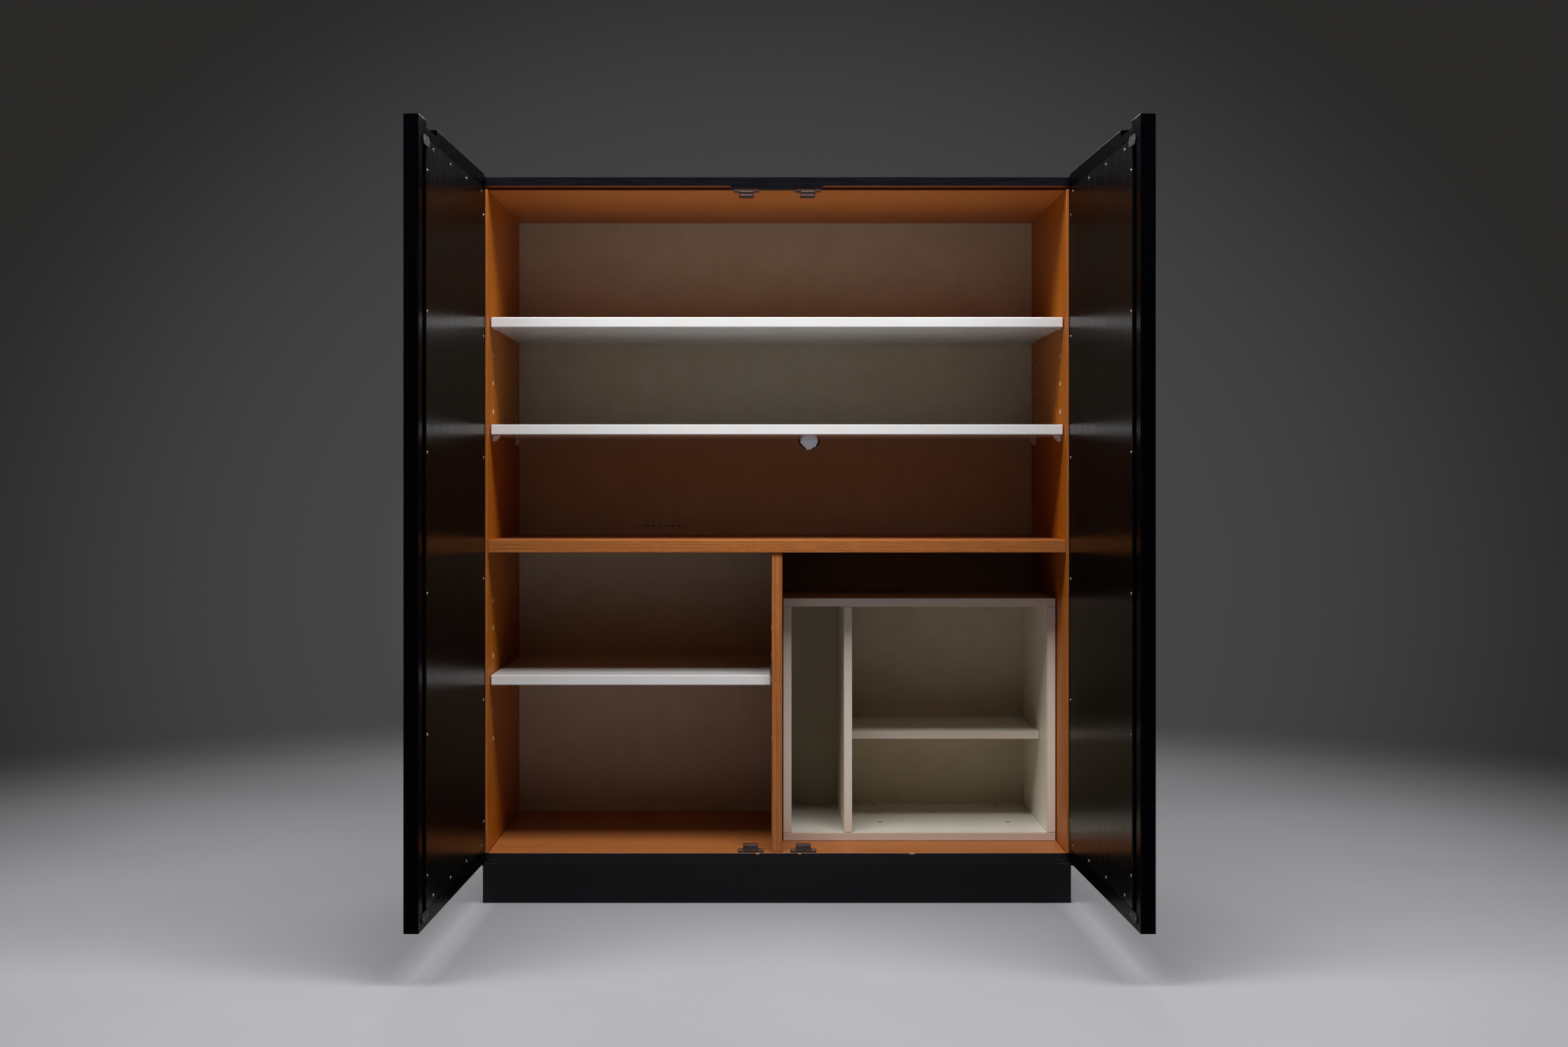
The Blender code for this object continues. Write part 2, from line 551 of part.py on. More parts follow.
def free_stile(end, across, full_v):
    """The stile at the meeting edge, rounded down into the groove between the rails."""
    mesh = box_mesh([across(0), across(FREE_STILE_WIDTH)], full_v, (DOOR_LOW, DOOR_HIGH))
    stile = ease(add_object(f"{end}_free_stile", mesh, BLACK_OAK), segments=2)
    width = FREE_STILE_WIDTH - FREE_STILE_FLAT
    curve = arc_points((0, 0), 1, 90, 0, ARC_STEPS + 2)
    outline = [(FREE_STILE_FLAT + width * across_part, INNER_FACE_V - FREE_STILE_ROUND_DEPTH * (1 - up_part))
               for across_part, up_part in curve]
    outline += [(FREE_STILE_WIDTH + DOOR_THICK, outline[-1][1]),
                (FREE_STILE_WIDTH + DOOR_THICK, INNER_FACE_V + DOOR_THICK),
                (FREE_STILE_FLAT, INNER_FACE_V + DOOR_THICK)]
    low = DOOR_LOW + RAIL_REVEAL
    run = DOOR_HIGH - RAIL_WIDTH - low
    tool = prism_mesh([(across(s), v, 0) for s, v in outline], (0, 0, low), (0, 0, run))
    return combine(stile, tool, "DIFFERENCE")


def hinge_stile(end, side, full_v):
    """The stile on the pivots: its inner corner is rounded, its ends take the pin and the leaf."""
    edge, inner = -PIVOT_FROM_EDGE, INNER_FACE_V
    far = HINGE_STILE_WIDTH - PIVOT_FROM_EDGE
    radius = HINGE_CORNER_ROUND
    outline = [(edge, full_v[0]), (far, full_v[0]), (far, inner)]
    outline += arc_points((edge + radius, inner - radius), radius, 90, 180)
    points = [(-side * u, v, 0) for u, v in outline]
    mesh = prism_mesh(points, (0, 0, DOOR_LOW), (0, 0, DOOR_HIGH - DOOR_LOW))
    stile = ease(add_object(f"{end}_hinge_stile", mesh, BLACK_OAK))
    bore = rod_mesh(PIN_RADIUS + PIN_CLEAR, (0, 0, DOOR_LOW - PIN_LENGTH), (0, 0, 2 * PIN_LENGTH + PIN_CLEAR))
    combine(stile, bore, "DIFFERENCE")
    reach = LEAF_HALF_WIDTH + LEAF_POCKET_CLEAR
    pocket = box_mesh((side * DOOR_THICK, -side * reach), (-reach, DOOR_THICK),
                      (HEIGHT - PIN_CLEAR, DOOR_HIGH + DOOR_THICK))
    return combine(stile, pocket, "DIFFERENCE")


def strike_plate(name, x, z):
    """A thin steel plate with cut corners, lying on the door's inner face."""
    half_x, half_z, corner = STRIKE_WIDTH / 2, STRIKE_HEIGHT / 2, STRIKE_CORNER
    outline = []
    for sign_x, sign_z in ((1, 1), (-1, 1), (-1, -1), (1, -1)):
        pair = [(sign_x * half_x, 0, sign_z * (half_z - corner)),
                (sign_x * (half_x - corner), 0, sign_z * half_z)]
        outline += pair if sign_x == sign_z else pair[::-1]
    mesh = prism_mesh(outline, (x, INNER_FACE_V + SEAM, z), (0, STRIKE_THICK, 0))
    return add_object(name, mesh, NICKEL)


def door_leaf(end, side):
    """The leaf on the door's top edge, with the pin that turns in the carcass leaf's eye."""
    reach = LEAF_HALF_WIDTH
    x = (side * reach, -side * (DOOR_LEAF_LENGTH - reach))
    low = DOOR_HIGH + SEAM
    leaf = add_object(f"{end}_door_leaf", box_mesh(x, (-reach, reach), (low, low + DOOR_LEAF_THICK)), STEEL)
    middle = low + DOOR_LEAF_THICK / 2
    pin = rod_mesh(PIN_RADIUS, (0, 0, HEIGHT + SEAM), (0, 0, middle - HEIGHT - SEAM))
    return combine(leaf, pin, "UNION")


def build():
    """All pieces of the cabinet."""
    build_sides()
    build_carcass()
    build_back()
    build_plinth()
    build_shelves()
    build_insert()
    build_catches()
    for end, side in (("left", -1), ("right", 1)):
        build_carcass_leaves(end, side)
        build_door(end, side)


build()
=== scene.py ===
# %% [markdown]
# # A black oak bar cabinet with its doors open
# The boards, doors, hinges and catches of this cabinet come from a packed CAD model. It is loaded as a
# fixed frame: nothing in it is moved or reshaped here. This lesson gives every board its finish, adds the
# small fittings that are finer than the CAD model, and sets up a plain studio and a camera to look at it.
#
# A new Blender file may hold a cube, a lamp and a camera. They go first, because whatever is left in the
# scene would count as a piece of the cabinet.

# %% Load the frame
import json
import math

import bmesh
import bpy
from mathutils import Matrix, Vector

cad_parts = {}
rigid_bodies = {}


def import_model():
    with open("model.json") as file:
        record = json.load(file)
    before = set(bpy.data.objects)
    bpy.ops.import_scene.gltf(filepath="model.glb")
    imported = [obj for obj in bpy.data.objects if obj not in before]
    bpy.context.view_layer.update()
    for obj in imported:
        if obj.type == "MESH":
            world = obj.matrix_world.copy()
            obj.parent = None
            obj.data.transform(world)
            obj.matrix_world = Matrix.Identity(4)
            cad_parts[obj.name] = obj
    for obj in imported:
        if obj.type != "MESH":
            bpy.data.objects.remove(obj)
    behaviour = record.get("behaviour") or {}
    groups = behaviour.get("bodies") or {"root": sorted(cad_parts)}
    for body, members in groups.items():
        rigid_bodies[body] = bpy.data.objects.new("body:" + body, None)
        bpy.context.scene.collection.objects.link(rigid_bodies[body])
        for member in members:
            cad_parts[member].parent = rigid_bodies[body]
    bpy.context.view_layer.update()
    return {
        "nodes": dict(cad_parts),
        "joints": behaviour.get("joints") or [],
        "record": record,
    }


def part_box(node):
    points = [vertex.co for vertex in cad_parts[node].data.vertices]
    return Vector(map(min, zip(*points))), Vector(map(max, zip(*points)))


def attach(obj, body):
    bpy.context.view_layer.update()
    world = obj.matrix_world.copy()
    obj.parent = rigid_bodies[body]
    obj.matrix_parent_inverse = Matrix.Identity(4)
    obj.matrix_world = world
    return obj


for leftover in list(bpy.data.objects):
    bpy.data.objects.remove(leftover, do_unlink=True)
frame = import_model()

# The doors are not: they stand open by the angle that the record gives as their hinge's limit. A door board
# is easier to measure after turning it back, so `turned_box` works in the board's own directions. In those
# directions the inner face of a door always looks along +Y, and its free edge is on the side of the
# cabinet's middle.

# %% Measure boards in their own directions
QUARTER_TURN = math.radians(90)
joints = {joint["name"]: joint for joint in frame["joints"]}
nodes_of_body = frame["record"]["behaviour"]["bodies"]
door_angle = math.radians(joints["left_door_hinge"]["range_deg"][1])
door_turn = {"left": -door_angle, "right": door_angle}
door_side = {"left": -1, "right": 1}


def turn_of(node):
    """The angle that a node's board is turned by: its door's, or none."""
    for end, turn in door_turn.items():
        if node in nodes_of_body[f"{end}_door"]:
            return turn
    return 0.0


def turned_box(node):
    """The lowest and highest corner of a board, in its own directions."""
    back = Matrix.Rotation(-turn_of(node), 3, "Z")
    points = [back @ vertex.co for vertex in frame["nodes"][node].data.vertices]
    low = Vector([min(point[axis] for point in points) for axis in range(3)])
    high = Vector([max(point[axis] for point in points) for axis in range(3)])
    return low, high


carcass_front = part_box("side_left")[0].y
print("doors open by", round(math.degrees(door_angle), 1), "degrees")
print("carcass front at y", round(carcass_front, 4))

# %% [markdown]
# ## Sums with shader sockets
# A finish is a small calculation for each point of a surface: where it is on the board, how the grain runs
# there, how close the next arris is. Wiring that by hand takes many lines, so one class wraps a socket and
# lets Python's operators add the Math nodes. `&` takes the smaller of two masks and `|` the larger one, as
# "and" and "or" would. Every other node comes from the one method `node`.

# %% A socket that works in sums
class Shade:
    """An output socket of a shader tree that works in sums, such as 1 - mask."""

    def __init__(self, tree, socket=None):
        self.tree = tree
        self.socket = socket

    def node(self, kind, settings=None, sockets=None, output=0):
        """Add a node: its settings first, then a value or a link for each socket."""
        made = self.tree.nodes.new(kind)
        for name, value in (settings or {}).items():
            setattr(made, name, value)
        for name, value in (sockets or {}).items():
            if isinstance(value, Shade):
                self.tree.links.new(value.socket, made.inputs[name])
            else:
                made.inputs[name].default_value = value
        return Shade(self.tree, made.outputs[output])

    def maths(self, operation, *values):
        """A Math node on one or more values."""
        return self.node("ShaderNodeMath", {"operation": operation}, dict(enumerate(values)))

    def __add__(self, other):
        return self.maths("ADD", self, other)

    def __sub__(self, other):
        return self.maths("SUBTRACT", self, other)

    def __rsub__(self, other):
        return self.maths("SUBTRACT", other, self)

    def __mul__(self, other):
        return self.maths("MULTIPLY", self, other)

    def __truediv__(self, other):
        return self.maths("DIVIDE", self, other)

    def __and__(self, other):
        return self.maths("MINIMUM", self, other)

    def __or__(self, other):
        return self.maths("MAXIMUM", self, other)

    def __lt__(self, other):
        return self.maths("LESS_THAN", self, other)

    def __gt__(self, other):
        return self.maths("GREATER_THAN", self, other)

    def __abs__(self):
        return self.maths("ABSOLUTE", self)

    __radd__ = __add__
    __rmul__ = __mul__

    def fraction(self):
        """What is left after the decimal point."""
        return self.maths("FRACT", self)

    def axis(self, letter):
        """One coordinate of a vector."""
        return self.node("ShaderNodeSeparateXYZ", {}, {0: self}, letter.upper())

    def stretched(self, scale, start=(0.0, 0.0, 0.0)):
        """A vector scaled along each axis, and moved."""
        return self.node("ShaderNodeMapping", {}, {"Vector": self, "Location": start, "Scale": scale})

    def rise(self, low, high):
        """A soft step from 0 at low to 1 at high; with low above high it falls instead."""
        limits = {"Value": self, "From Min": low, "From Max": high}
        return self.node("ShaderNodeMapRange", {"interpolation_type": "SMOOTHSTEP"}, limits)

    def noise(self, scale, detail=3.0, roughness=0.55):
        """Cloudy noise on a vector, mostly between 0.3 and 0.7."""
        sockets = {"Vector": self, "Scale": scale, "Detail": detail, "Roughness": roughness}
        return self.node("ShaderNodeTexNoise", {}, sockets)

    def blend(self, low, high):
        """A colour between two colours, with this value as the mask."""
        return self.node("ShaderNodeMix", {"data_type": "RGBA"}, {0: self, 6: low, 7: high}, 2)


def weighted(parts, shares):
    """A sum of values, each times its share."""
    total = parts[0] * shares[0]
    for part, share in zip(parts[1:], shares[1:]):
        total = total + part * share
    return total


print("methods of a Shade:", [name for name in vars(Shade) if not name.startswith("_")])

# %% [markdown]
# ## Colours and board coordinates
# Colours are easiest to choose as display values from 0 to 255, and shaders need them linear, so `display`
# converts them. `board_space` gives a shader the coordinates of one board: square to it, in metres, with
# zero at its middle. A distance to the nearest arris then follows from the board's half sizes: on a surface
# the smallest of the three gaps is zero, so the second smallest is the distance to the arris.

# %% Colours and coordinates for the finishes
def display(red, green, blue):
    """The linear colour of a display value."""
    values = [value / 255 for value in (red, green, blue)]
    return tuple(v / 12.92 if v <= 0.04045 else ((v + 0.055) / 1.055) ** 2.4 for v in values) + (1.0,)


def tones(**colours):
    """Linear colours by name, from display values."""
    return {name: display(*colour) for name, colour in colours.items()}


def new_material(name):
    """A material with its Principled shader, and a Shade to start its nodes from."""
    material = bpy.data.materials.new(name)
    material.use_nodes = True
    return material, Shade(material.node_tree)


def feed(material, **sockets):
    """Give sockets of the Principled shader a value or a link; an underscore stands for a space."""
    shader = material.node_tree.nodes["Principled BSDF"]
    for name, value in sockets.items():
        socket = shader.inputs[name.replace("_", " ")]
        if isinstance(value, Shade):
            material.node_tree.links.new(value.socket, socket)
        else:
            socket.default_value = value
    return material


def relief(height, depth, strength=0.6):
    """A Bump node's normal for a height map from 0 to 1, depth metres deep."""
    return height.node("ShaderNodeBump", {}, {"Height": height, "Distance": depth, "Strength": strength})


def board_space(shade, node):
    """A board's own coordinates around its middle, and its half sizes."""
    low, high = turned_box(node)
    turn = turn_of(node)
    middle = Matrix.Rotation(turn, 3, "Z") @ ((low + high) / 2)
    point = shade.node("ShaderNodeTexCoord", output="Object")
    sockets = {"Vector": point, "Location": middle, "Rotation": (0, 0, turn)}
    return shade.node("ShaderNodeMapping", {"vector_type": "TEXTURE"}, sockets), (high - low) / 2


def face_gaps(local, half):
    """How far a point is from a board's faces, along each axis."""
    return [half[place] - abs(local.axis(letter)) for place, letter in enumerate("xyz")]


def arris_distance(gaps):
    """How far a point of a board's surface is from the nearest arris."""
    near = gaps[0] & gaps[1]
    far = gaps[0] | gaps[1]
    return near | (far & gaps[2])


print("black of 20 is", round(display(20, 20, 20)[0], 4), "linear")

# %% [markdown]
# ## Oak
# Oak veneer shows three things at once: fine fibres, growth rings that sway slowly, and open pores, short
# dark dashes along the grain. A picture of veneer would show them too, but it would repeat from board to
# board, so they are made of noise. Squeezed along one axis it gives the fibres and pores. The rings are a
# saw-tooth of the distance across the grain, and a slow noise, the figure, sways them.

# %% Grain of oak
GRAIN_SQUEEZE = 0.035
SEED_STEP = (0.37, 0.53, 0.71)
FIBRE_SCALE = 520.0
FIBRE_RANGE = (0.25, 0.75)
PORE_SCALE = 1700.0
PORE_RANGE = (0.60, 0.72)
FIGURE_SCALE = 16.0
RING_PITCH = 0.0065
RING_SWAY = 8.0
RING_SLANT = 0.8
RING_CLIMB = (0.0, 0.8)
RING_DROP = (0.85, 1.0)


def oak_grain(local, along, seed):
    """Fibres, pores and figure of oak whose grain runs along one axis, each from 0 to 1."""
    squeeze = [GRAIN_SQUEEZE if letter == along else 1.0 for letter in "xyz"]
    grain = local.stretched(squeeze, [seed * step for step in SEED_STEP])
    fibres = grain.noise(FIBRE_SCALE, detail=4.0, roughness=0.6).rise(*FIBRE_RANGE)
    pores = grain.noise(PORE_SCALE, detail=1.0).rise(*PORE_RANGE)
    return fibres, pores, grain.noise(FIGURE_SCALE, detail=2.0)


def growth_rings(local, along, figure):
    """Rings across the grain that the figure sways, from 0 to 1."""
    across = [local.axis(letter) for letter in "xyz" if letter != along]
    saw = ((across[0] + across[1] * RING_SLANT) / RING_PITCH + figure * RING_SWAY).fraction()
    return saw.rise(*RING_CLIMB) - saw.rise(*RING_DROP)


print("pores about", round(1000 / PORE_SCALE, 2), "mm wide, rings about", 1000 * RING_PITCH, "mm apart")

# %% [markdown]
# ## Stains on one grain
# The same grain serves every oak finish of this cabinet: black stain outside, a warm orange stain inside.
# Black stain soaks in unevenly, so fibres and rings stay just visible in it. The doors have the deepest
# black, darker than the carcass's as painted shade for the dimmer light on the doors, and outer faces a
# slightly paler one. Orange stain is clearer and shows more of the wood. On the side walls its copy is
# more saturated, painted shade for their deep orange shadow, and under the top its copy is lighter and
# redder, painted light for the light thrown up onto the top's underside. Black stain is thin on arrises,
# so wear lets brown wood through there, in patches. A board could have a second material on its stained
# faces, but a mask of the board's own coordinates does more: it lets a stain stop in the middle of a face.

# %% The oak finish
FACE = 0.0004
STAIN_SHARES = (0.45, 0.35, 0.2)
WEAR = 0.12
WEAR_PATCHES = 70.0
WEAR_WANDER = 0.006
WEAR_REACH = (0.0008, -0.0006)
OAK_GLOSS_SHARES = (0.12, 0.10)
FACE_GLOSS = 0.10
GRAIN_DEPTH = 0.00006
GRAIN_HEIGHT = 0.4


def stain_tones(dark, light, pore, open_share, **finish):
    """A stain: its dark and light wood, its pores, and how far they show."""
    return {**tones(dark=dark, light=light, pore=pore), "open": open_share, **finish}


BLACK_STAIN = stain_tones((2, 2, 7), (9, 9, 18), (1, 1, 2), 0.8, gloss=0.22, sheen=0.26)
# The doors' black is darker than the carcass's: painted shade for the dimmer light on the doors.
SHADED_DOOR_STAIN = stain_tones((1, 1, 3), (7, 7, 12), (0, 0, 1), 0.8, gloss=0.10, sheen=0.01)
OUTER_STAIN = stain_tones((8, 8, 11), (27, 27, 32), (2, 2, 3), 0.8)
WARM_STAIN = stain_tones((144, 79, 33), (192, 120, 64), (92, 42, 16), 0.6)
# On the side walls' inner faces the orange is more saturated: painted shade for their deep orange shadow.
SHADE_DEEPENED_STAIN = stain_tones((150, 75, 7), (198, 113, 20), (100, 42, 4), 0.5)
# Under the top the orange is lighter and redder: painted light for the light thrown up onto it.
LIT_CEILING_STAIN = stain_tones((166, 90, 34), (212, 131, 60), (110, 50, 18), 0.5)
WORN_OAK = display(82, 60, 42)


def stain(tone, pores, colours):
    """The colour of oak under one stain, from the tone of its grain and its pores."""
    wood = tone.blend(colours["dark"], colours["light"])
    return (pores * colours["open"]).blend(wood, colours["pore"])


def oak(node, along, seed, faces, black):
    """Black oak for one board; each of its faces is a mask with the colour or stain that it has instead."""
    material, shade = new_material(f"oak_{node}")
    local, half = board_space(shade, node)
    fibres, pores, figure = oak_grain(local, along, seed)
    tone = weighted((fibres, growth_rings(local, along, figure), figure), STAIN_SHARES)
    patch = local.noise(WEAR_PATCHES, detail=4.0, roughness=0.65)
    distance = arris_distance(face_gaps(local, half))
    worn = (distance + (patch - 0.5) * WEAR_WANDER).rise(*WEAR_REACH)
    colour = (worn * WEAR).blend(stain(tone, pores, black), WORN_OAK)
    gloss = black["gloss"] + weighted((fibres, patch), OAK_GLOSS_SHARES)
    for mask, finish in faces:
        inside = mask(local, half)
        colour = inside.blend(colour, stain(tone, pores, finish) if isinstance(finish, dict) else finish)
        gloss = gloss + inside * FACE_GLOSS
    height = fibres * GRAIN_HEIGHT - pores * GRAIN_HEIGHT + GRAIN_HEIGHT
    feed(material, Base_Color=colour, Roughness=gloss, Normal=relief(height, GRAIN_DEPTH))
    return feed(material, Specular_IOR_Level=black["sheen"])


def cover(node, material):
    """Put a finish on every material slot of a CAD node."""
    for place in frame["nodes"][node].material_slots:
        place.material = material


print("warm stain from", [round(value, 3) for value in WARM_STAIN["dark"]])
print("warm stain to", [round(value, 3) for value in WARM_STAIN["light"]])

# %% [markdown]
# ## Faces of the sides and the doors
# Each mask is a function of a board's coordinates and half sizes: a point lies on a face when it is within
# a fraction of a millimetre of the half size. A side board's inner face and front edge are stained from the
# floor board upwards, and a thin line at its outer arris stays black. Left and right mirror each other, so
# one function makes the mask for either side.

# %% Masks of the sides and the doors
BLACK_ARRIS = 0.0015
floor_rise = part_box("bottom_panel")[1].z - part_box("side_left")[0].z


def inner_face(side):
    """A mask of a side board's inner face, from the level of the floor board upwards."""
    def mask(local, half):
        return (local.axis("x") * -side > half.x - FACE) & (local.axis("z") > floor_rise - half.z)

    return mask


def front_edge(side):
    """A mask of a side board's front edge, above the floor board and short of the outer arris."""
    def mask(local, half):
        short = half.x - local.axis("x") * side > BLACK_ARRIS
        return (local.axis("y") < FACE - half.y) & (local.axis("z") > floor_rise - half.z) & short

    return mask


def outer_face(side):
    """A mask of a side board's outer face."""
    def mask(local, half):
        return local.axis("x") * side > half.x - FACE

    return mask


def door_front(local, half):
    """The face that a door board turns to the room when the door is shut."""
    return local.axis("y") < FACE - half.y


print("side boards are stained from", round(floor_rise, 4), "m above their lower ends")

# %% [markdown]
# ## Faces of the top and the floor
# The top is stained underneath, and its stain stops short of the ends and the front, which stay black.
# Behind the top's front edge there is a step, and a dark brown is painted on its upright wall and on the
# underside just in front of that wall: painted shade, for the shade that the front edge casts there. The
# floor is stained above, and along its front arris a few chips show bare wood. Noise makes the chips
# ragged, and a short list says where they are.

# %% Masks of the top and the floor
# How far in front of the step's wall the painted shade reaches onto the underside.
STEP_SHADE = 0.012
FLOOR_CHIPS = ((-0.036, 0.004), (0.042, 0.003), (0.251, 0.006))
CHIP_CORE = 0.4
CHIP_SCALE = 900.0
CHIP_RAGGED = 0.003
CHIP_BAND = (0.0012, 0.0004)
step_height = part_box("catch_block")[1].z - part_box("catch_block")[0].z
step_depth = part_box("catch_block")[1].y - carcass_front


def ceiling(local, half):
    """The top's underside and the step behind its front edge, short of the top's ends."""
    short = abs(local.axis("x")) < half.x - BLACK_ARRIS
    low = local.axis("z") < step_height + 2 * FACE - half.z
    return short & low & (local.axis("y") > 2 * FACE - half.y)


def step_painted_shade(local, half):
    """The step's upright wall and the underside just in front of it, where dark painted shade goes."""
    back = local.axis("y") + (half.y - step_depth)
    return (back > -STEP_SHADE) & (back < FACE) & (local.axis("z") > FACE - half.z) & ceiling(local, half)


def upper_face(local, half):
    """The face that looks up."""
    return local.axis("z") > half.z - FACE


def everywhere(local, half):
    """The whole board."""
    return local.axis("z") > -2 * half.z


def chipped(local, half):
    """Small chips along the front arris of the floor, at the places where they are on the real one."""
    spots = [abs(local.axis("x") - place).rise(size, size * CHIP_CORE) for place, size in FLOOR_CHIPS]
    ragged = local.axis("z") + local.noise(CHIP_SCALE) * CHIP_RAGGED
    near = ragged.rise(half.z - CHIP_BAND[0], half.z - CHIP_BAND[1])
    return (spots[0] | spots[1] | spots[2]) & near & (local.axis("y") < 2 * FACE - half.y)


print("step under the top:", round(step_height, 4), "high and", round(step_depth, 4), "deep")

# %% [markdown]
# ## Finish the oak boards
# Each board gets its own copy of the finish, because the grain direction, the place of its arrises and its
# stained faces differ. The table gives the axis of the grain and the stained faces. A board's place in the
# table is the seed of its grain, so no two boards look the same.

# %% Oak boards
# Dark brown painted shade for the step behind the top's front edge.
PAINTED_SHADE_OAK = display(112, 46, 22)
BARE_OAK = display(196, 152, 104)


def side_faces(side):
    """The stained faces of a side board; side is -1 on the left and 1 on the right."""
    return (inner_face(side), SHADE_DEEPENED_STAIN), (front_edge(side), WARM_STAIN), (outer_face(side), OUTER_STAIN)


oak_boards = {
    "side_left": ("z", side_faces(-1)),
    "side_right": ("z", side_faces(1)),
    "top_panel": ("x", ((ceiling, LIT_CEILING_STAIN), (step_painted_shade, PAINTED_SHADE_OAK), (upper_face, OUTER_STAIN))),
    "bottom_panel": ("x", ((upper_face, WARM_STAIN), (chipped, BARE_OAK))),
    "middle_shelf": ("x", ((everywhere, WARM_STAIN),)),
    "centre_divider": ("z", ((everywhere, WARM_STAIN),)),
    "catch_block": ("x", ()), "plinth_front": ("x", ()), "plinth_back": ("x", ()),
    "plinth_left": ("y", ()), "plinth_right": ("y", ()),
}
for end in door_turn:
    for board, along in (("free_stile", "z"), ("hinge_stile", "z"), ("front_panel", "z"),
                         ("top_rail", "x"), ("bottom_rail", "x")):
        oak_boards[f"{end}_{board}"] = (along, ((door_front, OUTER_STAIN),))
for seed, (node, (along, faces)) in enumerate(oak_boards.items()):
    black = SHADED_DOOR_STAIN if turn_of(node) else BLACK_STAIN
    cover(node, oak(node, along, seed, faces, black))
print("oak boards:", len(oak_boards))

# %% [markdown]
# ## The doors' inner panels
# These are thin plywood panels, lacquered black and rubbed down along the grain, which leaves fine upright
# scratches. They are finer than a pixel of the picture, so streaks in the tone and the gloss stand for them
# better than bumps would. The lacquer stays glossy enough for the shelves to show in the doors as soft level
# bands.

# %% Lacquered plywood
PANEL_SEED = 40
LACQUER_TONES = tones(dark=(2, 2, 2), light=(15, 12, 10))
LACQUER_SHARES = (0.3, 0.5, 0.2)
LACQUER_SHEEN = 0.05
LACQUER_GLOSS = 0.15
LACQUER_GLOSS_SHARES = (0.08, 0.08, 0.05)
LACQUER_DEPTH = 0.00003
STREAK_SQUEEZE = (1.0, 1.0, 0.02)
STREAK_SCALE = 130.0
STREAK_RANGE = (0.3, 0.7)
HAZE_SCALE = 5.0
RIM_WEAR = 0.3
RIM_SCALE = 60.0
RIM_WANDER = 0.004
RIM_REACH = (0.0006, -0.0004)


def lacquered_plywood(node, seed):
    """Black lacquer on plywood with upright streaks."""
    material, shade = new_material(f"lacquer_{node}")
    local, half = board_space(shade, node)
    fibres, pores, figure = oak_grain(local, "z", seed)
    upright = local.stretched(STREAK_SQUEEZE)
    streaks = upright.noise(STREAK_SCALE, detail=4.0, roughness=0.7).rise(*STREAK_RANGE)
    tone = weighted((fibres, streaks, figure), LACQUER_SHARES)
    wander = (local.noise(RIM_SCALE) - 0.5) * RIM_WANDER
    worn = (arris_distance(face_gaps(local, half)) + wander).rise(*RIM_REACH)
    colour = (worn * RIM_WEAR).blend(tone.blend(LACQUER_TONES["dark"], LACQUER_TONES["light"]), WORN_OAK)
    gloss = LACQUER_GLOSS + weighted((streaks, pores, local.noise(HAZE_SCALE)), LACQUER_GLOSS_SHARES)
    bumps = relief(pores, LACQUER_DEPTH, strength=0.3)
    feed(material, Base_Color=colour, Roughness=gloss, Normal=bumps)
    return feed(material, Specular_IOR_Level=LACQUER_SHEEN)


for seed, end in enumerate(door_turn):
    cover(f"{end}_inner_panel", lacquered_plywood(f"{end}_inner_panel", PANEL_SEED + seed))
print("inner panels lacquered")

# %% [markdown]
# ## Laminated boards
# The loose shelves are chipboard with glossy white laminate, the insert's boards have a dull cream laminate
# that has aged, and the insert's floor has a darker, greyer cream. Laminate is nearly even, but not flat: a
# faint orange-peel surface, slow clouds of yellowing, a fine seam where the front edge band meets the faces,
# grey handling marks near the front, and on the insert's boards dark lines along every arris, which are
# dark joints and, in part, painted shade for the creases between the boards. Wherever the board is cut
# deeper than the laminate, as in a hole or a recess, its brown core shows. One function makes a material for
# each board from its own coordinates, so that every seam lies where that board has it.

# %% White and cream laminate
WHITE_TONES = tones(face=(231, 230, 230), aged=(224, 221, 214), band=(233, 232, 234),
                    joint=(120, 104, 84), core=(112, 80, 52))
CREAM_TONES = tones(face=(233, 228, 211), aged=(226, 218, 197), band=(236, 225, 215),
                    joint=(70, 52, 38), core=(70, 44, 28))
# The insert's floor is a darker, greyer cream than its other boards.
INSERT_FLOOR_TONES = {**CREAM_TONES, **tones(face=(210, 205, 194), aged=(198, 190, 175), band=(222, 204, 188))}
WHITE_GLOSS = 0.09
WHITE_JOINT_SHADE = 0.0
CREAM_GLOSS = 0.42
CREAM_JOINT_SHADE = 0.5
CREAM_SEED = 5
CORE_DEPTH = 0.0006
BAND_THICK = 0.0009
BAND_SEAM = 0.00025
BAND_SCALE = 30.0
BAND_AGED = 0.6
SEAM_SHARE = 0.5
JOINT_SHADE_LINE = 0.0010
CLOUD_SCALE = 7.0
CLOUD_RANGE = (0.35, 0.75)
MARK_DEPTH = 0.030
MARK_SCALE = 45.0
MARK_RANGE = (0.5, 0.8)
AGED_SHARES = (0.5, 0.25)
PEEL_SCALE = 900.0
PEEL_GLOSS = 0.04
PEEL_DEPTH = 0.00002


